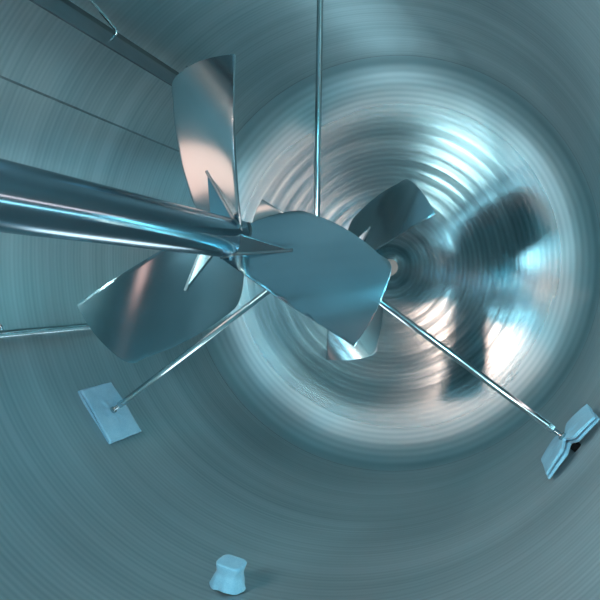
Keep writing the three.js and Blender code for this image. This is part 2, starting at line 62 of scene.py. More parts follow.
below = pixel_ray(BELOW_PIXEL)
inward = pixel_ray(AXIS_PIXEL)
inward -= below * (inward @ below)
inward /= np.linalg.norm(inward)
tank_axes = np.array([np.cross(inward, -below), inward, -below])
camera_data = bpy.data.cameras.new("view")
camera_data.sensor_width = SENSOR_WIDTH
camera_data.lens = FOCAL_PIXELS / FRAME_PIXELS * SENSOR_WIDTH
camera_data.clip_start = NEAREST_SEEN
camera = bpy.data.objects.new("view", camera_data)
turn = Matrix((tank_axes @ np.diag([1, -1, -1])).tolist())
camera.matrix_world = Matrix.Translation(CAMERA_PLACE) @ turn.to_4x4()
bpy.context.scene.collection.objects.link(camera)
bpy.context.scene.camera = camera

# Shell
# The round wall of the tank: stainless sheet 5 mm thick, rolled to a bore of 2.4 m and closed with one
# lengthwise weld, its inside ground with belts that went round and round.
BORE_RADIUS = 1.200
SHELL_OUTER_RADIUS = 1.205
SEAM_BEARING = 69.3
SHELL_STEPS = 240
SHELL_ROWS = 60
CROWN_RADIUS = 2.4
KNUCKLE_RADIUS = 0.24
HEAD_THICKNESS = 0.006
SHELL_HEIGHT = 3.4
BOTTOM_APEX_Z = 0.7
KNUCKLE_CENTRE = BORE_RADIUS - KNUCKLE_RADIUS
HEAD_DEPTH = CROWN_RADIUS - np.sqrt((CROWN_RADIUS - KNUCKLE_RADIUS) ** 2 - KNUCKLE_CENTRE ** 2)
SHELL_BOTTOM_Z = BOTTOM_APEX_Z + HEAD_DEPTH
SHELL_TOP_Z = SHELL_BOTTOM_Z + SHELL_HEIGHT
MAP_NAME = "along_and_round"
MERGE_DISTANCE = 1e-5
SHARP_ANGLE = 35
CUT_CLEARANCE = 0.0002
WALL_COLOUR = "b3c3c6"
WALL_SHADE = "93a7ab"
BAND_PITCH = 0.024
BAND_LENGTH = 5.0
LINE_PITCH = 0.007
COURSE_PITCH = 0.16
COURSE_LENGTH = 2.0
THREAD_SHADE = 0.13
THREAD_WANDER = 5.0


def linear(code):
    """Linear colour of an sRGB hex value: c / 12.92 below 0.04045, else ((c + 0.055) / 1.055) ** 2.4."""
    shares = [int(code[i:i + 2], 16) / 255 for i in (0, 2, 4)]
    return [c / 12.92 if c <= 0.04045 else ((c + 0.055) / 1.055) ** 2.4 for c in shares] + [1.0]


def add(material, kind, inputs=None, **settings):
    """Adds a node: its settings by name, and its sockets by name or number, each a value or a link."""
    node = material.node_tree.nodes.new(kind)
    for name, value in settings.items():
        setattr(node, name, value)
    for name, value in (inputs or {}).items():
        if isinstance(value, bpy.types.NodeSocket):
            material.node_tree.links.new(value, node.inputs[name])
        else:
            node.inputs[name].default_value = value
    return node


def new_material(name):
    """Makes a material of nodes, with none in it yet."""
    material = bpy.data.materials.new(name)
    material.use_nodes = True
    material.node_tree.nodes.clear()
    return material


def finish_material(material, inputs, relief=(), strength=1.0):
    """Ends a material in the shader with these inputs. Its relief is a sum of patterns, each times its height
    in metres, and is raised on the Normal among the inputs, if there is one."""
    height = 0.0
    for pattern, metres in relief:
        height = add(material, "ShaderNodeMath", {0: pattern, 1: metres, 2: height},
                     operation="MULTIPLY_ADD").outputs[0]
    if relief:
        under = {"Normal": inputs["Normal"]} if "Normal" in inputs else {}
        bump = add(material, "ShaderNodeBump",
                   {"Height": height, "Distance": 1.0, "Strength": strength, **under})
        inputs = {**inputs, "Normal": bump.outputs[0]}
    shader = add(material, "ShaderNodeBsdfPrincipled", inputs)
    add(material, "ShaderNodeOutputMaterial", {"Surface": shader.outputs["BSDF"]})


def streaks(material, place, scale, detail):
    """Noise drawn out in streaks: its place is scaled by a number of its own each way."""
    place = add(material, "ShaderNodeMapping", {"Vector": place, "Scale": scale})
    noise = add(material, "ShaderNodeTexNoise", {"Vector": place.outputs[0], "Scale": 1.0, "Detail": detail})
    return noise.outputs["Fac"]


def grid(points, wrap_rows=False, wrap_columns=False):
    """Surface of a grid of points P(i, j): a quad between each four neighbours, mapped in metres along i and j,
    from 0 at the first point, by the mean length of a step along i and the longest one along j."""
    rows, columns = points.shape[:2]
    i, j = np.meshgrid(np.arange(rows if wrap_rows else rows - 1),
                       np.arange(columns if wrap_columns else columns - 1), indexing="ij")
    corners = [(i, j), (i, j + 1), (i + 1, j + 1), (i + 1, j)]
    faces = np.stack([a % rows * columns + b % columns for a, b in corners], axis=-1).reshape(-1, 4)
    along = np.linalg.norm(np.roll(points, -1, axis=0) - points, axis=2).mean(axis=1)
    round_ = np.linalg.norm(np.roll(points, -1, axis=1) - points, axis=2).max(axis=0)
    along = np.concatenate([[0], np.cumsum(along)])
    round_ = np.concatenate([[0], np.cumsum(round_)])
    places = np.stack([np.stack([along[a], round_[b]], axis=-1) for a, b in corners], axis=-2)
    return points.reshape(-1, 3), faces.tolist(), places.reshape(-1, 4, 2).tolist()


def turned(outline, steps=64, centre=(0.0, 0.0), closed=True, start=0.0):
    """Outline of (radius r, height h) carried round an upright axis: (x + r cos a, y + r sin a, h)."""
    angle = np.radians(start) + np.linspace(0, 2 * np.pi, steps, endpoint=False)
    radius, height = np.asarray(outline, float).T[:, :, None]
    x, y = centre[0] + radius * np.cos(angle), centre[1] + radius * np.sin(angle)
    return grid(np.stack(np.broadcast_arrays(x, y, height), axis=-1), wrap_rows=closed, wrap_columns=True)


def joined(name, surfaces):
    """Mesh of surfaces, the corners of each counted on from the last corner of the one before."""
    counts = np.cumsum([0] + [len(points) for points, _, _ in surfaces])
    points = np.concatenate([points for points, _, _ in surfaces])
    faces = [[start + corner for corner in face]
             for start, (_, part, _) in zip(counts, surfaces) for face in part]
    mesh = bpy.data.meshes.new(name)
    mesh.from_pydata(points.tolist(), [], faces)
    return mesh


def merge(mesh, outward=True):
    """Merges the corners of a mesh that lie on each other and, where asked, turns its faces outwards."""
    work = bmesh.new()
    work.from_mesh(mesh)
    bmesh.ops.remove_doubles(work, verts=work.verts, dist=MERGE_DISTANCE)
    if outward:
        bmesh.ops.recalc_face_normals(work, faces=work.faces)
    work.to_mesh(mesh)
    work.free()


def ease(piece, width, angle=45, segments=2, harden=True):
    """Rounds a piece's edges that are sharper than an angle."""
    easing = piece.modifiers.new("eased edges", "BEVEL")
    easing.width = width
    easing.segments = segments
    easing.limit_method = "ANGLE"
    easing.angle_limit = np.radians(angle)
    easing.harden_normals = harden


def add_piece(name, surfaces, material, body, replaces=(), outward=True, sharp=SHARP_ANGLE, bevel=0.0):
    """Makes a piece of surfaces joined corner to corner, smooth but for edges sharper than an angle."""
    mesh = joined(name, surfaces)
    layer = mesh.uv_layers.new(name=MAP_NAME)
    layer.data.foreach_set("uv", np.concatenate([np.ravel(place) for _, _, part in surfaces for place in part]))
    merge(mesh, outward)
    return show_piece(name, mesh, material, body, replaces, sharp, bevel)


def show_piece(name, mesh, material, body, replaces, sharp, bevel):
    """Shows a mesh as a piece that rides on a body, with its material and eased edges."""
    mesh.materials.clear()
    mesh.materials.append(material)
    mesh.polygons.foreach_set("use_smooth", np.ones(len(mesh.polygons), bool))
    mesh.set_sharp_from_angle(angle=np.radians(sharp))
    piece = bpy.data.objects.new(name, mesh)
    bpy.context.scene.collection.objects.link(piece)
    if bevel:
        ease(piece, bevel)
    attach(piece, body)
    if replaces:
        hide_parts(*replaces)
    return piece


def cut(piece, surfaces):
    """Takes closed surfaces out of a piece, for good."""
    cutter = joined("cutter", surfaces)
    merge(cutter)
    tool = bpy.data.objects.new("cutter", cutter)
    bpy.context.scene.collection.objects.link(tool)
    saw = piece.modifiers.new("cut", "BOOLEAN")
    saw.operation = "DIFFERENCE"
    saw.solver = "EXACT"
    saw.object = tool
    graph = bpy.context.evaluated_depsgraph_get()
    mesh = bpy.data.meshes.new_from_object(piece.evaluated_get(graph))
    piece.modifiers.remove(saw)
    piece.data = mesh
    mesh.set_sharp_from_angle(angle=np.radians(SHARP_ANGLE))
    bpy.data.objects.remove(tool)
    bpy.data.meshes.remove(cutter)


def column(radius, low, high, centre=(0.0, 0.0), steps=48):
    """Closed upright cylinder, as a turned outline from the axis out and back."""
    return turned([(0, low), (radius, low), (radius, high), (0, high)], steps, centre, closed=False)


def head_outline(offset, crown_steps=40, knuckle_steps=20):
    """Dished head in section, from its apex to its tangent line, as (radius, height over the tangent line).
    Crown: (C sin a, C cos a - drop). Knuckle: (centre + K sin a, K cos a), both radii grown by the offset."""
    crown = CROWN_RADIUS + offset
    knuckle = KNUCKLE_RADIUS + offset
    drop = CROWN_RADIUS - HEAD_DEPTH
    join = np.arcsin(KNUCKLE_CENTRE / (CROWN_RADIUS - KNUCKLE_RADIUS))
    a = np.linspace(0, join, crown_steps + 1)
    b = np.linspace(join, np.pi / 2, knuckle_steps + 1)[1:]
    return np.concatenate([np.stack([crown * np.sin(a), crown * np.cos(a) - drop], axis=-1),
                           np.stack([KNUCKLE_CENTRE + knuckle * np.sin(b), knuckle * np.cos(b)], axis=-1)])


def at_bearing(bearing, distance, z=0.0, aside=0.0):
    """Point at a distance from the axis on a bearing, moved aside across it:
    (d cos b - s sin b, d sin b + s cos b, z)."""
    cos, sin = np.cos(np.radians(bearing)), np.sin(np.radians(bearing))
    return np.stack(np.broadcast_arrays(distance * cos - aside * sin, distance * sin + aside * cos, z), axis=-1)


# Ground stainless steel, belt-ground round the bore: bands as wide as a belt's edge leaves, fine lines along
# them, and a gloss that is drawn out across the lines. The fine lines are drawn coarser than the real 0.1 mm.
ground_steel = new_material("ground stainless steel")
spot = add(ground_steel, "ShaderNodeTexCoord").outputs["Object"]
bands = streaks(ground_steel, spot, (1 / BAND_LENGTH, 1 / BAND_LENGTH, 1 / BAND_PITCH), 1.0)
lines = streaks(ground_steel, spot, (1 / BAND_LENGTH, 1 / BAND_LENGTH, 1 / LINE_PITCH), 1.0)
courses = streaks(ground_steel, spot, (1 / COURSE_LENGTH, 1 / COURSE_LENGTH, 1 / COURSE_PITCH), 3.0)
smears = add(ground_steel, "ShaderNodeTexNoise",
             {"Vector": spot, "Scale": 2.2, "Detail": 4.0, "Roughness": 0.6})
level = add(ground_steel, "ShaderNodeSeparateXYZ", {0: spot})
sweep = add(ground_steel, "ShaderNodeMath", {0: level.outputs[2], 1: 2 * np.pi / BAND_PITCH},
            operation="MULTIPLY")
sweep = add(ground_steel, "ShaderNodeMath", {0: smears.outputs["Fac"], 1: THREAD_WANDER, 2: sweep.outputs[0]},
            operation="MULTIPLY_ADD")
threads = add(ground_steel, "ShaderNodeMath", {0: sweep.outputs[0]}, operation="SINE").outputs[0]
tone = add(ground_steel, "ShaderNodeMath", {0: bands, 1: courses}, operation="ADD")
tone = add(ground_steel, "ShaderNodeMath", {0: threads, 1: THREAD_SHADE, 2: tone.outputs[0]},
           operation="MULTIPLY_ADD")
tone = add(ground_steel, "ShaderNodeMapRange", {"Value": tone.outputs[0], "From Min": 0.5, "From Max": 1.5})
paint = add(ground_steel, "ShaderNodeMix", {0: tone.outputs[0], 6: linear(WALL_SHADE), 7: linear(WALL_COLOUR)},
            data_type="RGBA")
rough = add(ground_steel, "ShaderNodeMapRange", {"Value": smears.outputs["Fac"], "From Min": 0.3,
                                                 "From Max": 0.7, "To Min": 0.42, "To Max": 0.50})
grain = add(ground_steel, "ShaderNodeTangent", direction_type="UV_MAP", uv_map=MAP_NAME)
finish_material(ground_steel, {"Base Color": paint.outputs[2], "Metallic": 0.9, "Roughness": rough.outputs[0],
                               "Anisotropic": 0.93, "Tangent": grain.outputs[0]},
                [(bands, 0.00010), (threads, 0.00005), (lines, 0.00003), (courses, 0.0008)])

rows = np.linspace(SHELL_BOTTOM_Z, SHELL_TOP_Z, SHELL_ROWS + 1)
shell_outline = np.concatenate([np.stack([0 * rows + BORE_RADIUS, rows], axis=-1),
                                np.stack([0 * rows + SHELL_OUTER_RADIUS, rows[::-1]], axis=-1)])
shell = add_piece("tank_shell", [turned(shell_outline, SHELL_STEPS, start=SEAM_BEARING)], ground_steel,
                  "vessel", [f"shell_{i}" for i in range(1, 9)])

# Instrument stub
# A short pipe of 60 mm through the wall, welded in, blind at its inner end and open outside.
STUB_BEARING = 181.5
STUB_Z = 2.8
STUB_RADIUS = 0.030
STUB_BORE = 0.025
STUB_INNER = 1.140
STUB_OUTER = 1.295
STUB_PLUG = 0.012
POLISHED_SHADE = "aebcbf"
POLISHED_COLOUR = "c4d0d2"


def swept(path, radius, steps=24):
    """Round bar along a path: P(i, j) = path(i) + radius(i) (cos a(j) side(i) + sin a(j) over(i)), its ends
    closed in their middles. The side lies square to the path and to the axis that it keeps furthest from."""
    path = np.asarray(path, float)
    ahead = np.gradient(path, axis=0)
    ahead /= np.linalg.norm(ahead, axis=1, keepdims=True)
    away = np.eye(3)[np.argmin(np.abs(ahead).sum(axis=0))]
    side = np.cross(ahead, away)
    side /= np.linalg.norm(side, axis=1, keepdims=True)
    over = np.cross(side, ahead)
    radius = np.broadcast_to(np.asarray(radius, float), len(path))[:, None, None]
    a = np.linspace(0, 2 * np.pi, steps, endpoint=False)[None, :, None]
    rings = path[:, None] + radius * (np.cos(a) * side[:, None] + np.sin(a) * over[:, None])
    ends = [np.repeat(path[[k]], steps, axis=0)[None] for k in (0, -1)]
    return grid(np.concatenate([ends[0], rings, ends[1]]), wrap_columns=True)


def clouded(material, cloud, dark, pale, smooth, dull):
    """Colour and roughness that follow a cloudy pattern: the colour goes from dark to pale, and the roughness
    from smooth to dull between 0.3 and 0.7 of the pattern, which is about as far as noise swings."""
    paint = add(material, "ShaderNodeMix", {0: cloud, 6: linear(dark), 7: linear(pale)}, data_type="RGBA")
    rough = add(material, "ShaderNodeMapRange", {"Value": cloud, "From Min": 0.3, "From Max": 0.7,
                                                 "To Min": smooth, "To Max": dull})
    return {"Base Color": paint.outputs[2], "Roughness": rough.outputs[0]}


# Polished stainless steel, as buffed round on pipe and bar: bright, with a faint haze and fine nicks.
polished_steel = new_material("polished stainless steel")
spot = add(polished_steel, "ShaderNodeTexCoord").outputs["Object"]
haze = add(polished_steel, "ShaderNodeTexNoise",
           {"Vector": spot, "Scale": 9.0, "Detail": 5.0, "Roughness": 0.6})
nicks = add(polished_steel, "ShaderNodeTexNoise", {"Vector": spot, "Scale": 160.0, "Detail": 3.0})
look = clouded(polished_steel, haze.outputs["Fac"], POLISHED_SHADE, POLISHED_COLOUR, 0.11, 0.18)
finish_material(polished_steel, {**look, "Metallic": 1.0}, [(nicks.outputs["Fac"], 0.00002)])

cut(shell, [swept(at_bearing(STUB_BEARING, np.array([1.15, 1.25]), STUB_Z), STUB_RADIUS + CUT_CLEARANCE, 48)])
stub_places = np.array([STUB_INNER, STUB_INNER, STUB_OUTER, STUB_OUTER, STUB_INNER + STUB_PLUG,
                        STUB_INNER + STUB_PLUG])
stub_radii = np.array([0, STUB_RADIUS, STUB_RADIUS, STUB_BORE, STUB_BORE, 0])
stub_angle = np.linspace(0, 2 * np.pi, 48, endpoint=False)
stub_points = at_bearing(STUB_BEARING, stub_places[:, None], STUB_Z + stub_radii[:, None] * np.sin(stub_angle),
                         stub_radii[:, None] * np.cos(stub_angle))
add_piece("instrument_stub_pipe", [grid(stub_points, wrap_columns=True)], polished_steel, "vessel",
          ["instrument_stub"], bevel=0.001)

# Welds of the shell
# Beads along the lengthwise seam and round both tangent lines, hardly proud inside and fuller outside.
BEAD_HALF = 0.0035
SEAM_END = 0.01
# Weld metal left as run: fine ripples across the bead, a straw and grey tint at its edges.
weld_metal = new_material("weld metal")
spot = add(weld_metal, "ShaderNodeTexCoord").outputs["Object"]
ripple = add(weld_metal, "ShaderNodeTexNoise", {"Vector": spot, "Scale": 260.0, "Detail": 2.0})
tint = add(weld_metal, "ShaderNodeTexNoise", {"Vector": spot, "Scale": 18.0, "Detail": 3.0})
paint = add(weld_metal, "ShaderNodeMix", {0: tint.outputs["Fac"], 6: linear("6e7477"), 7: linear("9aa4a6")},
            data_type="RGBA")
finish_material(weld_metal, {"Base Color": paint.outputs[2], "Metallic": 1.0, "Roughness": 0.38},
                [(ripple.outputs["Fac"], 0.0003)])


def tangent_beads(radius, width, height):
    """Beads round both tangent lines: a section (radius + width cos b, line + height sin b) carried round."""
    b = np.linspace(0, 2 * np.pi, 24, endpoint=False)[::2]
    return [turned(np.stack([radius + width * np.cos(b), line + height * np.sin(b)], axis=-1), 180)
            for line in (SHELL_BOTTOM_Z, SHELL_TOP_Z)]


seam_z = np.linspace(SHELL_BOTTOM_Z + SEAM_END, SHELL_TOP_Z - SEAM_END, 60)
outer_seam = swept(at_bearing(SEAM_BEARING, SHELL_OUTER_RADIUS - 0.0005, seam_z), BEAD_HALF, 10)
add_piece("shell_welds_outside", [outer_seam] + tangent_beads(SHELL_OUTER_RADIUS + 0.0002, BEAD_HALF, 0.007),
          weld_metal, "vessel")
inner_seam = grid(at_bearing(SEAM_BEARING, (BORE_RADIUS - 0.0006 * np.array([0, 0.7, 1, 0.7, 0]))[None],
                             seam_z[:, None], np.array([-5, -3, 0, 3, 5])[None] / 1000))
add_piece("shell_welds_inside", [inner_seam] + tangent_beads(BORE_RADIUS + 0.0032, -0.0040, 0.006), weld_metal,
          "vessel", outward=False)

# Bottom head
# A dished end spun from 6 mm sheet: the roller leaves rings about 70 mm apart, with finer ones between,
# polished over, so that light runs across them as a comb of bright bows.
OUTLET_RADIUS = 0.057
RING_PITCH = 0.070
GROOVE_PITCH = 0.030
FINE_RING_PITCH = 0.020
BROAD_RING_PITCH = 0.09
RING_WANDER = 0.012
RIM_DULLNESS = 0.32
IRONING = 0.5
# Spun stainless steel, polished round: rings at four pitches, duller towards the rim. It is shaded flatter
# than its shape: an upright half as long as the normal is added to the normal, and wanes over the knuckle.
spun_steel = new_material("spun stainless steel")
spot = add(spun_steel, "ShaderNodeTexCoord").outputs["Object"]
parts = add(spun_steel, "ShaderNodeSeparateXYZ", {0: spot}).outputs
level = add(spun_steel, "ShaderNodeCombineXYZ", {0: parts[0], 1: parts[1]})
reach = add(spun_steel, "ShaderNodeVectorMath", {0: level.outputs[0]}, operation="LENGTH").outputs["Value"]
wander = add(spun_steel, "ShaderNodeTexNoise", {"Vector": spot, "Scale": 1.4, "Detail": 2.0})
wavy = add(spun_steel, "ShaderNodeMath", {0: wander.outputs["Fac"], 1: RING_WANDER, 2: reach},
           operation="MULTIPLY_ADD")
waves = []
for pitch in (RING_PITCH, GROOVE_PITCH):
    turns = add(spun_steel, "ShaderNodeMath", {0: wavy.outputs[0], 1: 2 * np.pi / pitch}, operation="MULTIPLY")
    waves.append(add(spun_steel, "ShaderNodeMath", {0: turns.outputs[0]}, operation="SINE").outputs[0])
rings, grooves = waves
ring_place = add(spun_steel, "ShaderNodeCombineXYZ", {0: parts[0], 1: parts[1], 2: reach}).outputs[0]
fine = streaks(spun_steel, ring_place, (0.3, 0.3, 1 / FINE_RING_PITCH), 2.0)
broad = streaks(spun_steel, ring_place, (0.8, 0.8, 1 / BROAD_RING_PITCH), 2.0)
tone = add(spun_steel, "ShaderNodeMath", {0: grooves, 1: 0.22, 2: broad}, operation="MULTIPLY_ADD")
paint = add(spun_steel, "ShaderNodeMix", {0: tone.outputs[0], 6: linear("93abb0"), 7: linear("b3c8cc")},
            data_type="RGBA")
rough = add(spun_steel, "ShaderNodeMapRange", {"Value": broad, "From Min": 0.3, "From Max": 0.7,
                                               "To Min": 0.11, "To Max": 0.16})
rim = add(spun_steel, "ShaderNodeMapRange", {"Value": reach, "From Min": 0.85, "From Max": 1.2,
                                             "To Min": 0.0, "To Max": RIM_DULLNESS})
rough = add(spun_steel, "ShaderNodeMath", {0: rough.outputs[0], 1: rim.outputs[0]}, operation="ADD")
facing = add(spun_steel, "ShaderNodeNewGeometry").outputs["Normal"]
lift = add(spun_steel, "ShaderNodeMapRange", {"Value": reach, "From Min": 1.02, "From Max": 1.2,
                                              "To Min": IRONING, "To Max": 0.0})
lift = add(spun_steel, "ShaderNodeCombineXYZ", {2: lift.outputs[0]})
ironed = add(spun_steel, "ShaderNodeVectorMath", {0: facing, 1: lift.outputs[0]}, operation="ADD")
ironed = add(spun_steel, "ShaderNodeVectorMath", {0: ironed.outputs[0]}, operation="NORMALIZE")
grain = add(spun_steel, "ShaderNodeTangent", direction_type="UV_MAP", uv_map=MAP_NAME)
finish_material(spun_steel, {"Base Color": paint.outputs[2], "Metallic": 1.0, "Roughness": rough.outputs[0],
                             "Anisotropic": 0.8, "Tangent": grain.outputs[0], "Normal": ironed.outputs[0]},
                [(rings, 0.00017), (grooves, 0.00003), (fine, 0.00013), (broad, 0.0006)])


def head_surface(tangent_z, way):
    """Dished head of 6 mm about the axis: its inside from apex to tangent line, then its outside back."""
    section = np.concatenate([head_outline(0), head_outline(HEAD_THICKNESS)[::-1]])
    section[:, 1] = tangent_z + way * section[:, 1]
    return turned(section, SHELL_STEPS, start=SEAM_BEARING)


bottom_head = add_piece("bottom_dish", [head_surface(SHELL_BOTTOM_Z, -1)], spun_steel, "vessel",
                        ["bottom_head"])
cut(bottom_head, [column(OUTLET_RADIUS + CUT_CLEARANCE, 0.6, 0.8)])

# Top head
# The same dished end turned over, holed for the manway, the centre nozzle, the dip pipe and three nozzles.
MANWAY_PLACE = (0.0, -0.745)
MANWAY_RADIUS = 0.254
CENTRE_RADIUS = 0.1095
DIP_BEARING = 117.3
DIP_OFFSET = 1.100
DIP_RADIUS = 0.017
# Each nozzle's bearing, distance from the axis, outer radius and flange radius.
NOZZLES = {"inlet_nozzle": (158, 0.760, 0.057, 0.110), "vent_nozzle": (30, 0.700, 0.0445, 0.100),
           "spray_nozzle": (205, 0.620, 0.030, 0.0825)}
top_head = add_piece("top_dish", [head_surface(SHELL_TOP_Z, 1)], ground_steel, "vessel",
                     [f"top_head_{i}" for i in range(1, 5)])
holes = [column(MANWAY_RADIUS + CUT_CLEARANCE, 4.6, 5.2, MANWAY_PLACE, 72),
         column(CENTRE_RADIUS + CUT_CLEARANCE, 4.9, 5.2),
         column(DIP_RADIUS + CUT_CLEARANCE, 4.6, 5.0, at_bearing(DIP_BEARING, DIP_OFFSET)[:2], 32)]
for bearing, offset, radius, _ in NOZZLES.values():
    holes.append(column(radius + CUT_CLEARANCE, 4.7, 5.2, at_bearing(bearing, offset)[:2]))
cut(top_head, holes)

# Manway neck and nozzles
# Pipe necks with flat flanges: the neck is set through the head and welded, the flange is drilled for bolts.
# The manway's cover is off. Faces have a raised joint ring, 1.6 mm proud of the bolts' circle.
RAISED_SHARE = 0.434
RAISED_HEIGHT = 0.0016
BOLT_SHARE = 0.14
ROOT_FILLET = 0.004
FLANGE_EASE = 0.0008


def node_span(name):
    """Lowest and highest point of a CAD node."""
    low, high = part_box(name)
    return low.z, high.z


def flanged(name, radius, wall, flange, thickness, centre, bolts, hole, way=1):
    """Neck with its flange in one turned outline, drilled with a circle of bolt holes. Its face is at its top
    where the way is 1, and at its bottom where it is -1."""
    low, face = node_span(name)[::way]
    bore = radius - wall
    root = face - way * thickness
    edge = face - way * RAISED_HEIGHT
    ring = radius + (flange - radius) * RAISED_SHARE
    outline = [(bore, low), (bore, face), (ring, face), (ring + RAISED_HEIGHT / 2, edge), (flange, edge),
               (flange, root), (radius + ROOT_FILLET, root), (radius, root - way * ROOT_FILLET), (radius, low)]
    piece = add_piece(name + "_body", [turned(outline, 96, centre)], polished_steel, "vessel",
                      [name])
    circle = (radius + flange) / 2 + (flange - radius) * BOLT_SHARE
    angle = 2 * np.pi * (np.arange(bolts) + 0.5) / bolts
    places = np.stack([centre[0] + circle * np.cos(angle), centre[1] + circle * np.sin(angle)], axis=-1)
    low_hole, high_hole = sorted([face + way * 0.01, root - way * 0.003])
    cut(piece, [column(hole, low_hole, high_hole, place, 20) for place in places])
    ease(piece, FLANGE_EASE, angle=60, segments=1, harden=False)


# Each neck's outer radius, wall, flange radius and thickness, centre, number of bolts and their holes' radius.
NECKS = [("manway_neck", MANWAY_RADIUS, 0.006, 0.310, 0.024, MANWAY_PLACE, 16, 0.0085)]
NECKS += [(name, radius, 0.004, flange, 0.020, at_bearing(bearing, offset)[:2], 8, 0.007)
          for name, (bearing, offset, radius, flange) in NOZZLES.items()]
NECKS += [("outlet_nozzle", OUTLET_RADIUS, 0.004, 0.110, 0.020, (0, 0), 8, 0.009, -1),
          ("centre_nozzle", CENTRE_RADIUS, 0.006, 0.170, 0.024, (0, 0), 8, 0.009)]
for neck in NECKS:
    flanged(*neck)


def head_weld(radius, centre, bead=0.006):
    """Weld bead round a neck where it stands on the head: a ring that follows the crown's height."""
    angle = np.linspace(0, 2 * np.pi, 73)[:-1]
    x, y = centre[0] + radius * np.cos(angle), centre[1] + radius * np.sin(angle)
    reach = np.hypot(x, y)
    outer = head_outline(HEAD_THICKNESS, 200, 80)
    z = SHELL_TOP_Z + np.interp(reach, outer[:, 0], outer[:, 1])
    out = np.stack([np.cos(angle), np.sin(angle), 0 * angle], axis=-1)[None]
    b = np.linspace(0, 2 * np.pi, 10, endpoint=False)[:, None, None]
    ring = np.stack([x, y, z], axis=-1)[None] + bead * (np.cos(b) * out + np.sin(b) * np.array([0, 0, 1.0]))
    return grid(ring, wrap_rows=True, wrap_columns=True)


welds = [head_weld(MANWAY_RADIUS, MANWAY_PLACE, 0.008), head_weld(CENTRE_RADIUS, (0, 0)),
         head_weld(DIP_RADIUS, at_bearing(DIP_BEARING, DIP_OFFSET)[:2], 0.004)]
welds += [head_weld(radius, at_bearing(bearing, offset)[:2]) for bearing, offset, radius, _ in NOZZLES.values()]
add_piece("nozzle_welds", welds, weld_metal, "vessel")

# Agitator shaft
# A straight polished tube of 110 mm from the gearbox down to the lower impeller, closed with a plate.
SHAFT_RADIUS = 0.055
TURNING_PITCH = 0.012
shaft_low, shaft_high = node_span("agitator_shaft")
# Drawn stainless tube, polished while it turned: lines round it, drawn far coarser than the real ones so
# that they show, and a thin film in long streaks.
shaft_steel = new_material("drawn and polished stainless tube")
spot = add(shaft_steel, "ShaderNodeTexCoord").outputs["Object"]
turn_lines = streaks(shaft_steel, spot, (3.0, 3.0, 1 / TURNING_PITCH), 3.0)
look = clouded(shaft_steel, streaks(shaft_steel, spot, (9.0, 9.0, 2.0), 5.0), "8aa2ae", "a9bcc6", 0.15, 0.20)
grain = add(shaft_steel, "ShaderNodeTangent", direction_type="UV_MAP", uv_map=MAP_NAME)
finish_material(shaft_steel, {**look, "Metallic": 1.0, "Anisotropic": 0.3, "Tangent": grain.outputs[0]},
                [(turn_lines, 0.00002)])
shaft_outline = [(0, shaft_low), (SHAFT_RADIUS - 0.003, shaft_low), (SHAFT_RADIUS, shaft_low + 0.003)]
shaft_outline += [(SHAFT_RADIUS, z) for z in np.linspace(shaft_low + 0.01, shaft_high - 0.01, 40)]
shaft_outline += [(SHAFT_RADIUS, shaft_high - 0.002), (SHAFT_RADIUS - 0.002, shaft_high), (0, shaft_high)]
add_piece("agitator_tube", [turned(shaft_outline, 96, closed=False)], shaft_steel, "agitator",
          ["agitator_shaft"])

# Impeller blades
# Each is a 7 mm sheet pressed to an arched, twisted face, ground all over and welded to the shaft, with a
# triangular gusset on top. The upper three are a sixth of a turn from the lower three.
BLADE_TIP_RADIUS = 0.467
BLADE_LEADING = -0.052
BLADE_TIP_ANGLE = 16.5
BLADE_SHEET = 0.007
GUSSET_SHEET = 0.008
GUSSET_CORNERS = ((0.037, -0.035, 0.0), (0.045, 0.032, 0.070), (0.183, 0.063, 0.0))
ROOT_RADIUS = 0.0555
WELD_RISE = 0.003
IMPELLERS = {"upper": (3.187, 10.3), "lower": (1.894, 70.2)}


def blade_height(along, across):
    """Height over the hub: rise + slope l + arch l^2 + (pitch + twist l) a + camber a^2, in metres."""
    return (0.0195 + 0.4209 * along - 0.4762 * along ** 2 + (-0.8345 + 1.4527 * along) * across
            - 0.8528 * across ** 2)


def bezier(corners, steps):
    """Curve on its corners: their sum weighted with the terms of ((1 - t) + t)^n, n one less than they are."""
    t = np.linspace(0, 1, steps)[:, None]
    while len(corners) > 1:
        corners = [(1 - t) * np.asarray(a) + t * np.asarray(b) for a, b in zip(corners, corners[1:])]
    return corners[0]


tip_corner = np.sqrt(BLADE_TIP_RADIUS ** 2 - BLADE_LEADING ** 2)
arc = np.linspace(np.arctan2(BLADE_LEADING, tip_corner), np.radians(BLADE_TIP_ANGLE), 18)
tip_arc = BLADE_TIP_RADIUS * np.stack([np.cos(arc), np.sin(arc)], axis=-1)
far_side = np.concatenate([
    tip_arc,
    bezier([tip_arc[-1], (0.436, 0.171), (0.420, 0.167), (0.390, 0.167)], 12)[1:],
    bezier([(0.390, 0.167), (0.290, 0.186), (0.210, 0.178), (0.120, 0.159)], 26)[1:],
    bezier([(0.120, 0.159), (0.080, 0.144), (0.020, 0.069)], 16)[1:],
    bezier([(0.020, 0.069), (0.0, 0.0275)], 6)[1:],
])
near_side = np.stack([np.minimum(far_side[:, 0], tip_corner), 0 * far_side[:, 0] + BLADE_LEADING], axis=-1)
share = np.linspace(0, 1, 22)[None, :, None]
blade_plan = near_side[:, None] * (1 - share) + far_side[:, None] * share
blade_rise = blade_height(blade_plan[..., 0], blade_plan[..., 1])[..., None]
blade_sheet = np.concatenate([blade_plan, blade_rise], axis=-1)


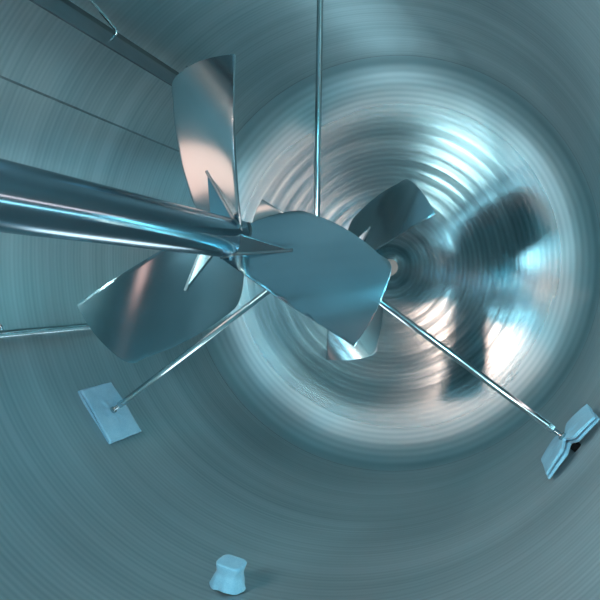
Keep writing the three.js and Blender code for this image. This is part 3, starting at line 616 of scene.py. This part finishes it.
def turned_by(points, bearing, z):
    """Points turned about the axis by a bearing and raised: (x cos b - y sin b, x sin b + y cos b, z + h)."""
    cos, sin = np.cos(np.radians(bearing)), np.sin(np.radians(bearing))
    x, y, h = np.moveaxis(points, -1, 0)
    return np.stack([x * cos - y * sin, x * sin + y * cos, h + z], axis=-1)


def slab(outline, thickness):
    """Flat plate: an outline of points in one plane and its copy a thickness further along the plane's normal,
    half of it to each side. Its two faces are mapped in metres along the first side and across it."""
    outline = np.asarray(outline, float)
    first = outline[1] - outline[0]
    normal = np.cross(first, outline[2] - outline[1])
    normal *= thickness / 2 / np.linalg.norm(normal)
    count = len(outline)
    points, faces, places = grid(np.stack([outline - normal, outline + normal]), wrap_columns=True)
    caps = [list(range(count))[::-1], list(range(count, 2 * count))]
    across = np.cross(normal, first) / np.linalg.norm(normal)
    flat = outline @ (np.stack([first, across]) / np.linalg.norm(first)).T
    return points, faces + caps, places + [flat[np.array(cap) % count].tolist() for cap in caps]


def thicken(piece, thickness):
    """Gives a surface the thickness of its sheet, half of it to each side."""
    sheet = piece.modifiers.new("sheet", "SOLIDIFY")
    sheet.thickness = thickness
    sheet.offset = 0


# Rolled stainless sheet, ground by hand with a flap wheel and handled since: fine cross-hatch without one way,
# soft smears of film on it, and a satin gloss.
blade_steel = new_material("hand-ground stainless sheet")
spot = add(blade_steel, "ShaderNodeTexCoord").outputs["Object"]
film = add(blade_steel, "ShaderNodeTexNoise", {"Vector": spot, "Scale": 7.0, "Detail": 6.0, "Roughness": 0.62,
                                               "Distortion": 0.4})
swirl = add(blade_steel, "ShaderNodeTexNoise", {"Vector": spot, "Scale": 45.0, "Detail": 5.0, "Roughness": 0.7})
look = clouded(blade_steel, film.outputs["Fac"], "a0b0b5", "b0bfc3", 0.14, 0.20)
finish_material(blade_steel, {**look, "Metallic": 1.0}, [(swirl.outputs["Fac"], 0.00003)])

gusset_corners = np.array(GUSSET_CORNERS)
gusset_corners[:, 2] += blade_height(gusset_corners[:, 0], gusset_corners[:, 1])
seat = np.linspace(-0.051, 0.0545, 26)
root = np.stack([np.sqrt(np.maximum(ROOT_RADIUS ** 2 - seat ** 2, 0)), seat], axis=-1)
root_line = np.concatenate([root, blade_height(root[:, 0], root[:, 1])[:, None] + WELD_RISE], axis=-1)
step = np.linspace(0, 1, 12)[:, None]
foot_line = (1 - step) * gusset_corners[0] + step * gusset_corners[2]
foot_line[:, 2] = blade_height(foot_line[:, 0], foot_line[:, 1]) + WELD_RISE
for impeller, (hub_z, bearing) in IMPELLERS.items():
    for i in range(3):
        turn_to = bearing + 120 * i
        sheet = grid(turned_by(blade_sheet, turn_to, hub_z))
        blade = add_piece(f"{impeller}_blade_{i + 1}_sheet", [sheet], blade_steel, "agitator",
                          [f"{impeller}_blade_{i + 1}"], outward=False)
        thicken(blade, BLADE_SHEET)
        ease(blade, 0.0012, 50, harden=False)
        gusset = slab(turned_by(gusset_corners, turn_to, hub_z), GUSSET_SHEET)
        add_piece(f"{impeller}_gusset_{i + 1}", [gusset], blade_steel, "agitator",
                  bevel=0.001)
        beads = [swept(turned_by(line, turn_to, hub_z), size, 10)
                 for line, size in ((root_line, 0.005), (foot_line, 0.0055))]
        add_piece(f"{impeller}_weld_{i + 1}", beads, weld_metal, "agitator")

# Shaft braces
# A collar round the shaft and three polished rods to the wall. Each ends in a lock nut on a threaded stud,
# whose round foot presses a cloth pad against the wall.
BRACE_Z = 2.377
BRACE_BEARINGS = (10, 136.7, 244.9)
PAD_DEPTHS = (0.020, 0.020, 0.050)
PAD_WIDTH = 0.265
COLLAR_INNER = 0.060
COLLAR_OUTER = 0.082
COLLAR_HALF = 0.045
ROD_RADIUS = 0.013
ROD_STEPS = 24
STUD_RADIUS = 0.0085
STUD_SHOWN = 0.032
THREAD_DEPTH = 0.0005
THREAD_HALF_PITCH = 0.001
FOOT_SPACE = 0.0123
NUT_CORNER = 0.016
NUT_LENGTH = 0.024
LAP = 0.002

wall_rise = BORE_RADIUS - np.sqrt(BORE_RADIUS ** 2 - (PAD_WIDTH / 2) ** 2)
collar_outline = [(COLLAR_INNER, BRACE_Z - COLLAR_HALF), (COLLAR_OUTER, BRACE_Z - COLLAR_HALF),
                  (COLLAR_OUTER, BRACE_Z + COLLAR_HALF), (COLLAR_INNER, BRACE_Z + COLLAR_HALF)]
add_piece("collar_ring", [turned(collar_outline, 72)], polished_steel, "vessel",
          ["brace_collar"], bevel=0.002)
for i, (bearing, depth) in enumerate(zip(BRACE_BEARINGS, PAD_DEPTHS)):
    pad_face = BORE_RADIUS - wall_rise - depth
    foot_start = pad_face - FOOT_SPACE
    nut_end = foot_start - STUD_SHOWN
    rod_places = np.linspace(COLLAR_OUTER - 0.004, nut_end - LAP, ROD_STEPS)
    rod = swept(at_bearing(bearing, rod_places, BRACE_Z), ROD_RADIUS, 32)
    threads = np.arange(nut_end - LAP, foot_start + LAP, THREAD_HALF_PITCH)
    stud_radii = STUD_RADIUS + THREAD_DEPTH * (np.arange(len(threads)) % 2)
    stud = swept(at_bearing(bearing, threads, BRACE_Z), stud_radii, 24)
    foot_places = foot_start + np.array([0, 0.0005, 0.002, 0.010, 0.0115, 0.012])
    foot = swept(at_bearing(bearing, foot_places, BRACE_Z), [0.010, 0.013, 0.015, 0.015, 0.014, 0.012], 40)
    add_piece(f"brace_bar_{i + 1}", [rod, stud, foot], polished_steel, "vessel",
              [f"brace_rod_{i + 1}"])
    nut_angle = np.radians(60 * np.arange(6) + 30)
    nut_face = at_bearing(bearing, nut_end - NUT_LENGTH / 2, BRACE_Z + NUT_CORNER * np.sin(nut_angle),
                          NUT_CORNER * np.cos(nut_angle))
    add_piece(f"brace_nut_{i + 1}", [slab(nut_face, NUT_LENGTH)], polished_steel, "vessel",
              bevel=0.0015)
    collar_joint = swept(at_bearing(bearing, COLLAR_OUTER + np.array([-0.002, 0.0, 0.003, 0.005]), BRACE_Z),
                         [0.019, 0.0185, 0.0155, 0.0135], 32)
    add_piece(f"brace_weld_{i + 1}", [collar_joint], weld_metal, "vessel")

# Pads under the brace feet
# Light blue nonwoven wiping cloth, each sheet folded up and down into four layers between the foot and the
# wall. The third is held off the wall by a square block, painted black as shade, and pinched in round its stud.
PAD_HEIGHT = 0.250
PAD_DROPS = (0.0, 0.0, 0.025)
PAD_BLOCKS = (0.0, 0.0, 0.026)
PAD_DIPS = (0.0, 0.0, 0.80)
BLOCK_HALF = 0.017
LAYERS = 4
LAYER_ROWS = 30
FIRST_SEED = 3
CLOTH_SHEET = 0.0022
NEVER_SHARP = 180
CLOTH_COLOUR = "a6d6ea"
CLOTH_SHADE = "86bcd6"
SCALE_COLOUR = "0c0f12"
# Nonwoven wiping cloth: soft, matt and mottled, dimpled by its making and slightly soiled. Its fibres are
# drawn coarser than the real ones so that they show.
cloth = new_material("light blue nonwoven wiping cloth")
spot = add(cloth, "ShaderNodeTexCoord").outputs["Object"]
fibre = add(cloth, "ShaderNodeTexNoise", {"Vector": spot, "Scale": 260.0, "Detail": 3.0, "Roughness": 0.7})
dimple = add(cloth, "ShaderNodeTexVoronoi", {"Vector": spot, "Scale": 170.0})
soil = add(cloth, "ShaderNodeTexNoise", {"Vector": spot, "Scale": 14.0, "Detail": 5.0, "Roughness": 0.65})
mottle = add(cloth, "ShaderNodeMath", {0: fibre.outputs["Fac"], 1: soil.outputs["Fac"]}, operation="ADD")
mottle = add(cloth, "ShaderNodeMapRange", {"Value": mottle.outputs[0], "From Min": 0.7, "From Max": 1.3})
paint = add(cloth, "ShaderNodeMix", {0: mottle.outputs[0], 6: linear(CLOTH_SHADE), 7: linear(CLOTH_COLOUR)},
            data_type="RGBA")
finish_material(cloth, {"Base Color": paint.outputs[2], "Roughness": 0.88, "Sheen Weight": 0.25,
                        "Sheen Roughness": 0.5},
                [(fibre.outputs["Fac"], 0.0006), (dimple.outputs["Distance"], 0.0006)], strength=0.7)

# Hot-rolled stainless plate, pickled to a dull grey, its grey set darker still as painted shade for the dark
# that the plate reflects. Past 1.1 m from the axis it is painted near black: a painted shadow of the gap behind
# the baffle, on its strip near the wall.
pickled_steel = new_material("pickled stainless plate, painted shade")
spot = add(pickled_steel, "ShaderNodeTexCoord").outputs["Object"]
flat = add(pickled_steel, "ShaderNodeVectorMath", {0: spot, 1: (1.0, 1.0, 0.0)}, operation="MULTIPLY")
reach = add(pickled_steel, "ShaderNodeVectorMath", {0: flat.outputs[0]}, operation="LENGTH")
# Painted shade: a mask that rises between 1.100 and 1.115 m from the axis and turns the plate near black beyond
# it.
scale = add(pickled_steel, "ShaderNodeMapRange", {"Value": reach.outputs["Value"], "From Min": 1.100,
                                                  "From Max": 1.115}, interpolation_type="SMOOTHSTEP")
cloud = add(pickled_steel, "ShaderNodeTexNoise",
            {"Vector": spot, "Scale": 5.0, "Detail": 6.0, "Roughness": 0.6})
# Dull grey: partly the pickled steel's own colour and partly painted shade for the dark surroundings that it
# reflects.
look = clouded(pickled_steel, cloud.outputs["Fac"], "4d5459", "6b7379", 0.38, 0.5)
paint = add(pickled_steel, "ShaderNodeMix",
            {0: scale.outputs[0], 6: look["Base Color"], 7: linear(SCALE_COLOUR)}, data_type="RGBA")
finish_material(pickled_steel, {**look, "Base Color": paint.outputs[2], "Metallic": 0.9})


def pad_points(bearing, depth, drop, behind, dip, seed):
    """Points of one folded sheet: straight runs up and down, joined by half circles at the top and the bottom.
    Layer k of n stands at wall (1 - k / n) + front k / n, where the wall side is held off by a block, if any,
    and the front is the plane that the foot presses. Heights about the foot are gathered in its middle,
    h (1 - dip exp(-(aside / 20 mm)^2)), and every layer is pressed in around the foot."""
    chance = np.random.default_rng(seed)
    gap = (depth - behind + 0.002) / (LAYERS - 1)
    height, stand = [], []
    for layer in range(LAYERS):
        short = chance.uniform(0.0, 0.012, 2)
        run = np.linspace(-PAD_HEIGHT / 2 + gap / 2 + short[0], PAD_HEIGHT / 2 - gap / 2 - short[1], LAYER_ROWS)
        way = 1 - 2 * (layer % 2)
        height.append(run[::way])
        stand.append(np.full(LAYER_ROWS, float(layer)))
        if layer < LAYERS - 1:
            bend = np.linspace(-np.pi / 2, np.pi / 2, 7)[1:-1]
            height.append(run[::way][-1] + way * gap / 2 * np.cos(bend))
            stand.append(layer + 0.5 + 0.5 * np.sin(bend))
    up = np.concatenate(height)[:, None]
    layer = np.concatenate(stand)[:, None] / (LAYERS - 1)
    aside = np.linspace(-PAD_WIDTH / 2, PAD_WIDTH / 2, 80)[None] + 0 * up
    side = 2 * aside / PAD_WIDTH
    tip = np.clip(np.abs(up) / (PAD_HEIGHT / 2), 0, 1)
    up = up + 0.005 * np.sign(up) * tip ** 3 * np.sin(2.6 * side + seed + 3 * layer)
    up = (up - drop) * (1 - dip * np.exp(-(aside / 0.020) ** 2)) + drop
    aside = aside + 0.004 * np.sin(14 * up + 5 * layer + seed) * side
    lean = 0.45 * behind * side ** 2
    wall = np.sqrt(BORE_RADIUS ** 2 - aside ** 2) - 0.0016 - behind + lean
    face = BORE_RADIUS - wall_rise - depth
    front = face + 0.0014 + lean
    reach = np.hypot(aside, (up - drop) * 1.2)
    spokes = np.sin(7 * np.arctan2(up - drop, aside) + seed)
    press = (0.002 + 0.05 * depth) * np.exp(-((reach - 0.022) / 0.016) ** 2)
    pucker = 0.0018 * np.exp(-((reach - 0.045) / 0.025) ** 2) * spokes
    waves = 0.0012 * np.sin(31 * aside + 19 * up + 2 * seed) + 0.0009 * np.sin(57 * up - 23 * aside + seed)
    soft = np.clip(reach / 0.030, 0, 1)
    distance = wall * (1 - layer) + front * layer + layer * soft * (pucker + waves - press)
    return at_bearing(bearing, np.clip(distance, face - 0.003, wall + 0.0002), BRACE_Z - drop + up, aside)


for i, (bearing, depth, drop, behind, dip) in enumerate(zip(BRACE_BEARINGS, PAD_DEPTHS, PAD_DROPS, PAD_BLOCKS,
                                                            PAD_DIPS)):
    points = pad_points(bearing, depth, drop, behind, dip, FIRST_SEED + i)
    pad = add_piece(f"folded_cloth_{i + 1}", [grid(points)], cloth, "vessel",
                    [f"brace_pad_{i + 1}"], outward=False, sharp=NEVER_SHARP)
    thicken(pad, CLOTH_SHEET)
# The block behind the third pad lies in the pickled plate's painted shade and shows black: a dark block that
# stands for shadow.
block = at_bearing(BRACE_BEARINGS[2], BORE_RADIUS - 0.0005 - PAD_BLOCKS[2] / 2,
                   BRACE_Z + BLOCK_HALF * np.array([-1, -1, 1, 1]), BLOCK_HALF * np.array([-1, 1, 1, -1]))
add_piece("brace_block_3", [slab(block, PAD_BLOCKS[2])], pickled_steel, "vessel", bevel=0.002)

# Cloth over the instrument stub
# A small sheet of the same cloth drawn over the stub's end like a hood and gathered at the wall. It bulges
# a little ahead of the stub's blind end.
HOOD_FRONT = 1.107
HOOD_HEM = 1.1965
HOOD_HALF = 0.047
HOOD_HEM_HALF = 0.061
HOOD_LIMIT = 0.0645
FRONT_SHARE = 0.36


def hood_points():
    """Points of the hood: rings from the middle of its front to its hem, each a rounded square
    r(a) = half / (|cos a|^n + |sin a|^n)^(1/n), drawn in behind the stub's end and flared at the hem."""
    step = np.linspace(0, 1, 40)[:, None]
    a = np.linspace(0, 2 * np.pi, 96, endpoint=False)[None]
    front = np.clip(step / FRONT_SHARE, 0, 1)
    side = np.clip((step - FRONT_SHARE) / (1 - FRONT_SHARE), 0, 1)
    power = 3.6 - 1.6 * side
    square = 1 / (np.abs(np.cos(a)) ** power + np.abs(np.sin(a)) ** power) ** (1 / power)
    half = HOOD_HALF * np.sin(np.pi / 2 * front) ** 0.9 + (HOOD_HEM_HALF - HOOD_HALF) * side ** 2.2
    half = half - 0.005 * np.exp(-((side - 0.35) / 0.2) ** 2) * (front >= 1)
    folds = 0.6 * np.sin(5 * a + 1.3) + 0.3 * np.sin(9 * a - 0.7 + 2 * side) + 0.3 * np.sin(3 * a + 0.4)
    half = half * square * (1 + 0.085 * side ** 1.5 * folds)
    crumple = 0.0012 * np.sin(60 * half * np.cos(a) + 1) * np.sin(75 * half * np.sin(a)) * np.sin(np.pi * step)
    reach = HOOD_FRONT + 0.006 * front ** 4 + (HOOD_HEM - HOOD_FRONT - 0.006) * side + crumple
    reach = reach - 0.004 * side ** 4 * (1 + np.sin(4 * a + 2))
    across = np.clip(half * np.cos(a), -HOOD_LIMIT, HOOD_LIMIT)
    rise = np.clip(half * np.sin(a), -HOOD_LIMIT, HOOD_LIMIT)
    return at_bearing(STUB_BEARING, reach, STUB_Z + rise, across)


wrap_points = hood_points()
wrap = add_piece("stub_hood_cloth", [grid(wrap_points, wrap_columns=True)], cloth, "vessel",
                 ["wrap_cloth"], outward=False, sharp=NEVER_SHARP)
thicken(wrap, CLOTH_SHEET)

# Baffle
# A pickled plate of 6 mm on edge to the wall, held off it by bent round bars that are welded to both.
BAFFLE_BEARING = 51.7
BAFFLE_INNER = 0.940
BAFFLE_OUTER = 1.170
BAFFLE_SHEET = 0.006
BAFFLE_LOW = 1.950
BAFFLE_HIGH = 4.420
BAR_RADIUS = 0.006
BAR_ASIDE = -0.041
BAFFLE_BARS = (2.045, 2.785, 3.525, 4.265)
BAFFLE_REACH = 1.030
BAR_BEND = 0.014


def bent_bar(bearing, reach, z, bend=BAR_BEND):
    """Round bar bent once: aside from its fitting, round a quarter circle (r - r sin a, r - r cos a), and out
    to the wall."""
    a = np.linspace(0, np.pi / 2, 9)
    aside = np.concatenate([np.linspace(0, BAR_ASIDE + bend, 4)[:-1], BAR_ASIDE + bend - bend * np.sin(a),
                            np.full(7, BAR_ASIDE)])
    out = np.concatenate([np.full(3, reach), reach + bend - bend * np.cos(a),
                          np.linspace(reach + bend, BORE_RADIUS - 0.001, 8)[1:]])
    return swept(at_bearing(bearing, out, z, aside), BAR_RADIUS, 20)


plate_corners = at_bearing(BAFFLE_BEARING, np.array([BAFFLE_INNER, BAFFLE_OUTER, BAFFLE_OUTER, BAFFLE_INNER]),
                           np.array([BAFFLE_LOW, BAFFLE_LOW, BAFFLE_HIGH, BAFFLE_HIGH]))
add_piece("baffle_plate", [slab(plate_corners, BAFFLE_SHEET)], pickled_steel, "vessel",
          ["baffle"], bevel=0.001)
add_piece("baffle_bars", [bent_bar(BAFFLE_BEARING, BAFFLE_REACH, z) for z in BAFFLE_BARS], polished_steel,
          "vessel")

# Dip pipe
# A polished pipe of 34 mm from above the top head down into the bottom, open below, on the same bent bars.
DIP_BORE = 0.014
DIP_BARS = (1.480, 2.900, 4.250)
DIP_LAP = 0.012
low, high = node_span("dip_pipe")
dip_wall = turned([(DIP_BORE, low), (DIP_RADIUS, low), (DIP_RADIUS, high), (DIP_BORE, high)], 40,
                  at_bearing(DIP_BEARING, DIP_OFFSET)[:2])
add_piece("dip_tube", [dip_wall] + [bent_bar(DIP_BEARING, DIP_OFFSET + DIP_LAP, z) for z in DIP_BARS],
          polished_steel, "vessel", ["dip_pipe"])

# Drive
# Stool, gearbox and motor over the centre nozzle: castings and plate, sprayed with satin blue-grey enamel.
# The motor's barrel has upright cooling fins between its end shields, and a terminal box on one side.
STOOL_EASE = 0.002
GEARBOX_EASE = 0.012
CASTING_SHARP_ANGLE = 30
FIN_COUNT = 40
FIN_TOP = 0.105
FIN_FOOT = 0.093
BOX_MIDDLE = 0.170
BOX_HEIGHT = 0.130
BOX_HALF = 0.06
# Sprayed machine enamel: satin, with a faint orange peel and a little dust.
enamel = new_material("satin machine enamel")
spot = add(enamel, "ShaderNodeTexCoord").outputs["Object"]
peel = add(enamel, "ShaderNodeTexNoise", {"Vector": spot, "Scale": 320.0, "Detail": 2.0})
dust = add(enamel, "ShaderNodeTexNoise", {"Vector": spot, "Scale": 6.0, "Detail": 6.0, "Roughness": 0.6})
look = clouded(enamel, dust.outputs["Fac"], "566a76", "6b808c", 0.34, 0.48)
finish_material(enamel, {**look, "IOR": 1.5, "Coat Weight": 0.15, "Coat Roughness": 0.3},
                [(peel.outputs["Fac"], 0.0002)])


def from_cad(name, node, material, bevel):
    """Piece with the shape of a CAD node, its loose corners merged and its edges eased."""
    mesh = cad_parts[node].data.copy()
    merge(mesh, outward=False)
    return show_piece(name, mesh, material, "vessel", [node], CASTING_SHARP_ANGLE, bevel)


from_cad("stool_frame", "drive_stool", enamel, STOOL_EASE)
from_cad("gearbox_housing", "gearbox", enamel, GEARBOX_EASE)
low, high = node_span("motor")
fin_angle = np.linspace(0, 2 * np.pi, FIN_COUNT * 4, endpoint=False)
fin_wave = np.where(np.arange(FIN_COUNT * 4) % 4 < 2, FIN_TOP, FIN_FOOT)[None]
motor_heights = np.array([low, low + 0.016, low + 0.016, low + 0.030, low + 0.030, high - 0.085, high - 0.085,
                          high - 0.080, high - 0.006, high])[:, None]
# A radius of 0 stands for the fins.
motor_radii = np.array([0.125, 0.125, 0.098, 0.098, 0, 0, 0.098, 0.105, 0.105, 0.099])[:, None]
motor_radii = np.where(motor_radii > 0, motor_radii, fin_wave)
motor_rings = np.stack(np.broadcast_arrays(motor_radii * np.cos(fin_angle), motor_radii * np.sin(fin_angle),
                                           motor_heights), axis=-1)
ends = [np.broadcast_to([0, 0, z], (1, FIN_COUNT * 4, 3)) for z in (low, high)]
box_corners = at_bearing(0, np.array([0.095, 0.150, 0.150, 0.095]), low + BOX_MIDDLE,
                         BOX_HALF * np.array([-1, -1, 1, 1]))
add_piece("motor_housing", [grid(np.concatenate([ends[0], motor_rings, ends[1]]), wrap_columns=True),
                            slab(box_corners, BOX_HEIGHT)], enamel, "vessel", ["motor"],
          bevel=0.0015)

# Legs
# Four pipe legs of 168 mm, coped to the shell and the bottom head, each with a doubler plate on the shell and a
# square foot plate with a drain hole.
LEG_EASE = 0.0015
# Stainless pipe and plate, blasted with glass beads: satin, matt and without one way.
satin_steel = new_material("bead-blasted stainless steel")
spot = add(satin_steel, "ShaderNodeTexCoord").outputs["Object"]
cloud = add(satin_steel, "ShaderNodeTexNoise", {"Vector": spot, "Scale": 4.0, "Detail": 6.0, "Roughness": 0.6})
beads = add(satin_steel, "ShaderNodeTexNoise", {"Vector": spot, "Scale": 600.0, "Detail": 2.0})
look = clouded(satin_steel, cloud.outputs["Fac"], "8f9698", "b0b6b7", 0.36, 0.46)
finish_material(satin_steel, {**look, "Metallic": 1.0}, [(beads.outputs["Fac"], 0.0001)])
for i in range(1, 5):
    from_cad(f"leg_post_{i}", f"leg_{i}", satin_steel, LEG_EASE)

# Floor and light
# A pale floor with soft studio light outside. Inside, daylight and a hand lamp fall in through the openings
# of the top head. One-sided soft lights stand for them, in a ring near the top and upright by the wall,
# with powers and colours set for the view from the manway.
FLOOR_HALF = 30
floor_mesh = bpy.data.meshes.new("floor")
floor_corners = [(-FLOOR_HALF, -FLOOR_HALF, 0), (FLOOR_HALF, -FLOOR_HALF, 0), (FLOOR_HALF, FLOOR_HALF, 0),
                 (-FLOOR_HALF, FLOOR_HALF, 0)]
floor_mesh.from_pydata(floor_corners, [], [(0, 1, 2, 3)])
floor = bpy.data.objects.new("floor", floor_mesh)
bpy.context.scene.collection.objects.link(floor)
pale = new_material("pale floor")
finish_material(pale, {"Base Color": linear("d9d9d6"), "Roughness": 0.8})
floor_mesh.materials.append(pale)


def add_light(name, place, aim, size, power, colour, tall=None):
    """Soft light at a place, facing a point: round, or upright and tall."""
    data = bpy.data.lights.new(name, "AREA")
    data.shape = "RECTANGLE" if tall else "DISK"
    data.size = size
    data.size_y = tall or size
    data.energy = power
    data.color = linear(colour)[:3]
    light = bpy.data.objects.new(name, data)
    light.location = place
    light.rotation_euler = (Vector(aim) - Vector(place)).to_track_quat("-Z", "Y").to_euler()
    light.visible_camera = False
    bpy.context.scene.collection.objects.link(light)


# Each light's name, bearing, distance from the axis, height, size, power and colour; a tall one's height last.
LIGHTS = (
    ("warm hand lamp", 80, 1.06, 4.6, 0.22, 4.0, "ffcab9"),
    ("far daylight, right", 94, 1.06, 4.6, 0.22, 2.5, "b8eeff"),
    ("far daylight, left", 116, 1.06, 4.6, 0.22, 3.2, "defcff"),
    ("warm glint on the blades", 184, 0.93, 4.76, 0.22, 0.25, "ffc0b4"),
    ("cool side daylight", 236, 1.06, 4.6, 0.22, 5.6, "b4ecff"),
    ("lamp low by the manway", 260, 1.07, 3.9, 0.2, 5.6, "fff0da"),
    ("manway daylight behind", 270, 1.06, 4.6, 0.22, 1.2, "60d0ff"),
    ("manway daylight", 300, 1.06, 4.6, 0.22, 12.0, "a4f6ff"),
    ("low daylight", 305, 1.09, 3.9, 0.16, 4.3, "9cf1ff"),
    ("cool low daylight", 340, 1.06, 4.6, 0.22, 5.0, "73dfff"),
    ("side daylight over the blades", 0, 0.76, 4.7, 0.6, 0.22, "97e1ff"),
    ("warm fill", 290, 0.8, 4.84, 0.24, 2.3, "ff7a60"),
)
TALL_LIGHTS = (
    ("warm glow on the far wall", 96, 1.16, 3.15, 0.22, 1.25, "ffc4b0", 0.9),
    ("cool glow down the near wall", 255, 1.17, 2.4, 0.08, 3.0, "a9ecff", 2.4),
    ("pale glow down the near wall", 272, 1.17, 2.2, 0.06, 1.9, "ffdfe1", 2.6),
    ("glow low on the side wall", 165, 1.16, 2.0, 0.3, 5.2, "e3f6ff", 1.4),
    ("soft glow on the side wall", 15, 1.10, 3.8, 0.8, 0.95, "97e1ff", 1.7),
)
LIGHTS_AIM = (0, 0, 1.5)
for name, bearing, reach, z, size, power, colour in LIGHTS:
    add_light(name, at_bearing(bearing, reach, z), LIGHTS_AIM, size, power, colour)
for name, bearing, reach, z, size, power, colour, tall in TALL_LIGHTS:
    add_light(name, at_bearing(bearing, reach, z), (0, 0, z), size, power, colour, tall)
add_light("soft light of the openings", (0, 0, 4.93), (0, 0, 0), 1.2, 0.6, "97e1ff")
add_light("studio key", (4.5, -6.0, 9.0), (0, 0, 2.5), 5.0, 900, "ffffff")
add_light("studio fill", (-7.0, -2.0, 6.0), (0, 0, 2.5), 5.0, 350, "ffffff")
world = bpy.data.worlds.new("studio")
world.use_nodes = True
sky = world.node_tree.nodes["Background"]
sky.inputs["Color"].default_value = linear("dfe6ea")
sky.inputs["Strength"].default_value = 0.4
bpy.context.scene.world = world
cycles = bpy.context.scene.cycles
cycles.max_bounces = 14
cycles.glossy_bounces = 12
cycles.sample_clamp_indirect = 6.0
bpy.context.scene.view_settings.view_transform = "Standard"
bpy.context.scene.view_settings.exposure = 0.0
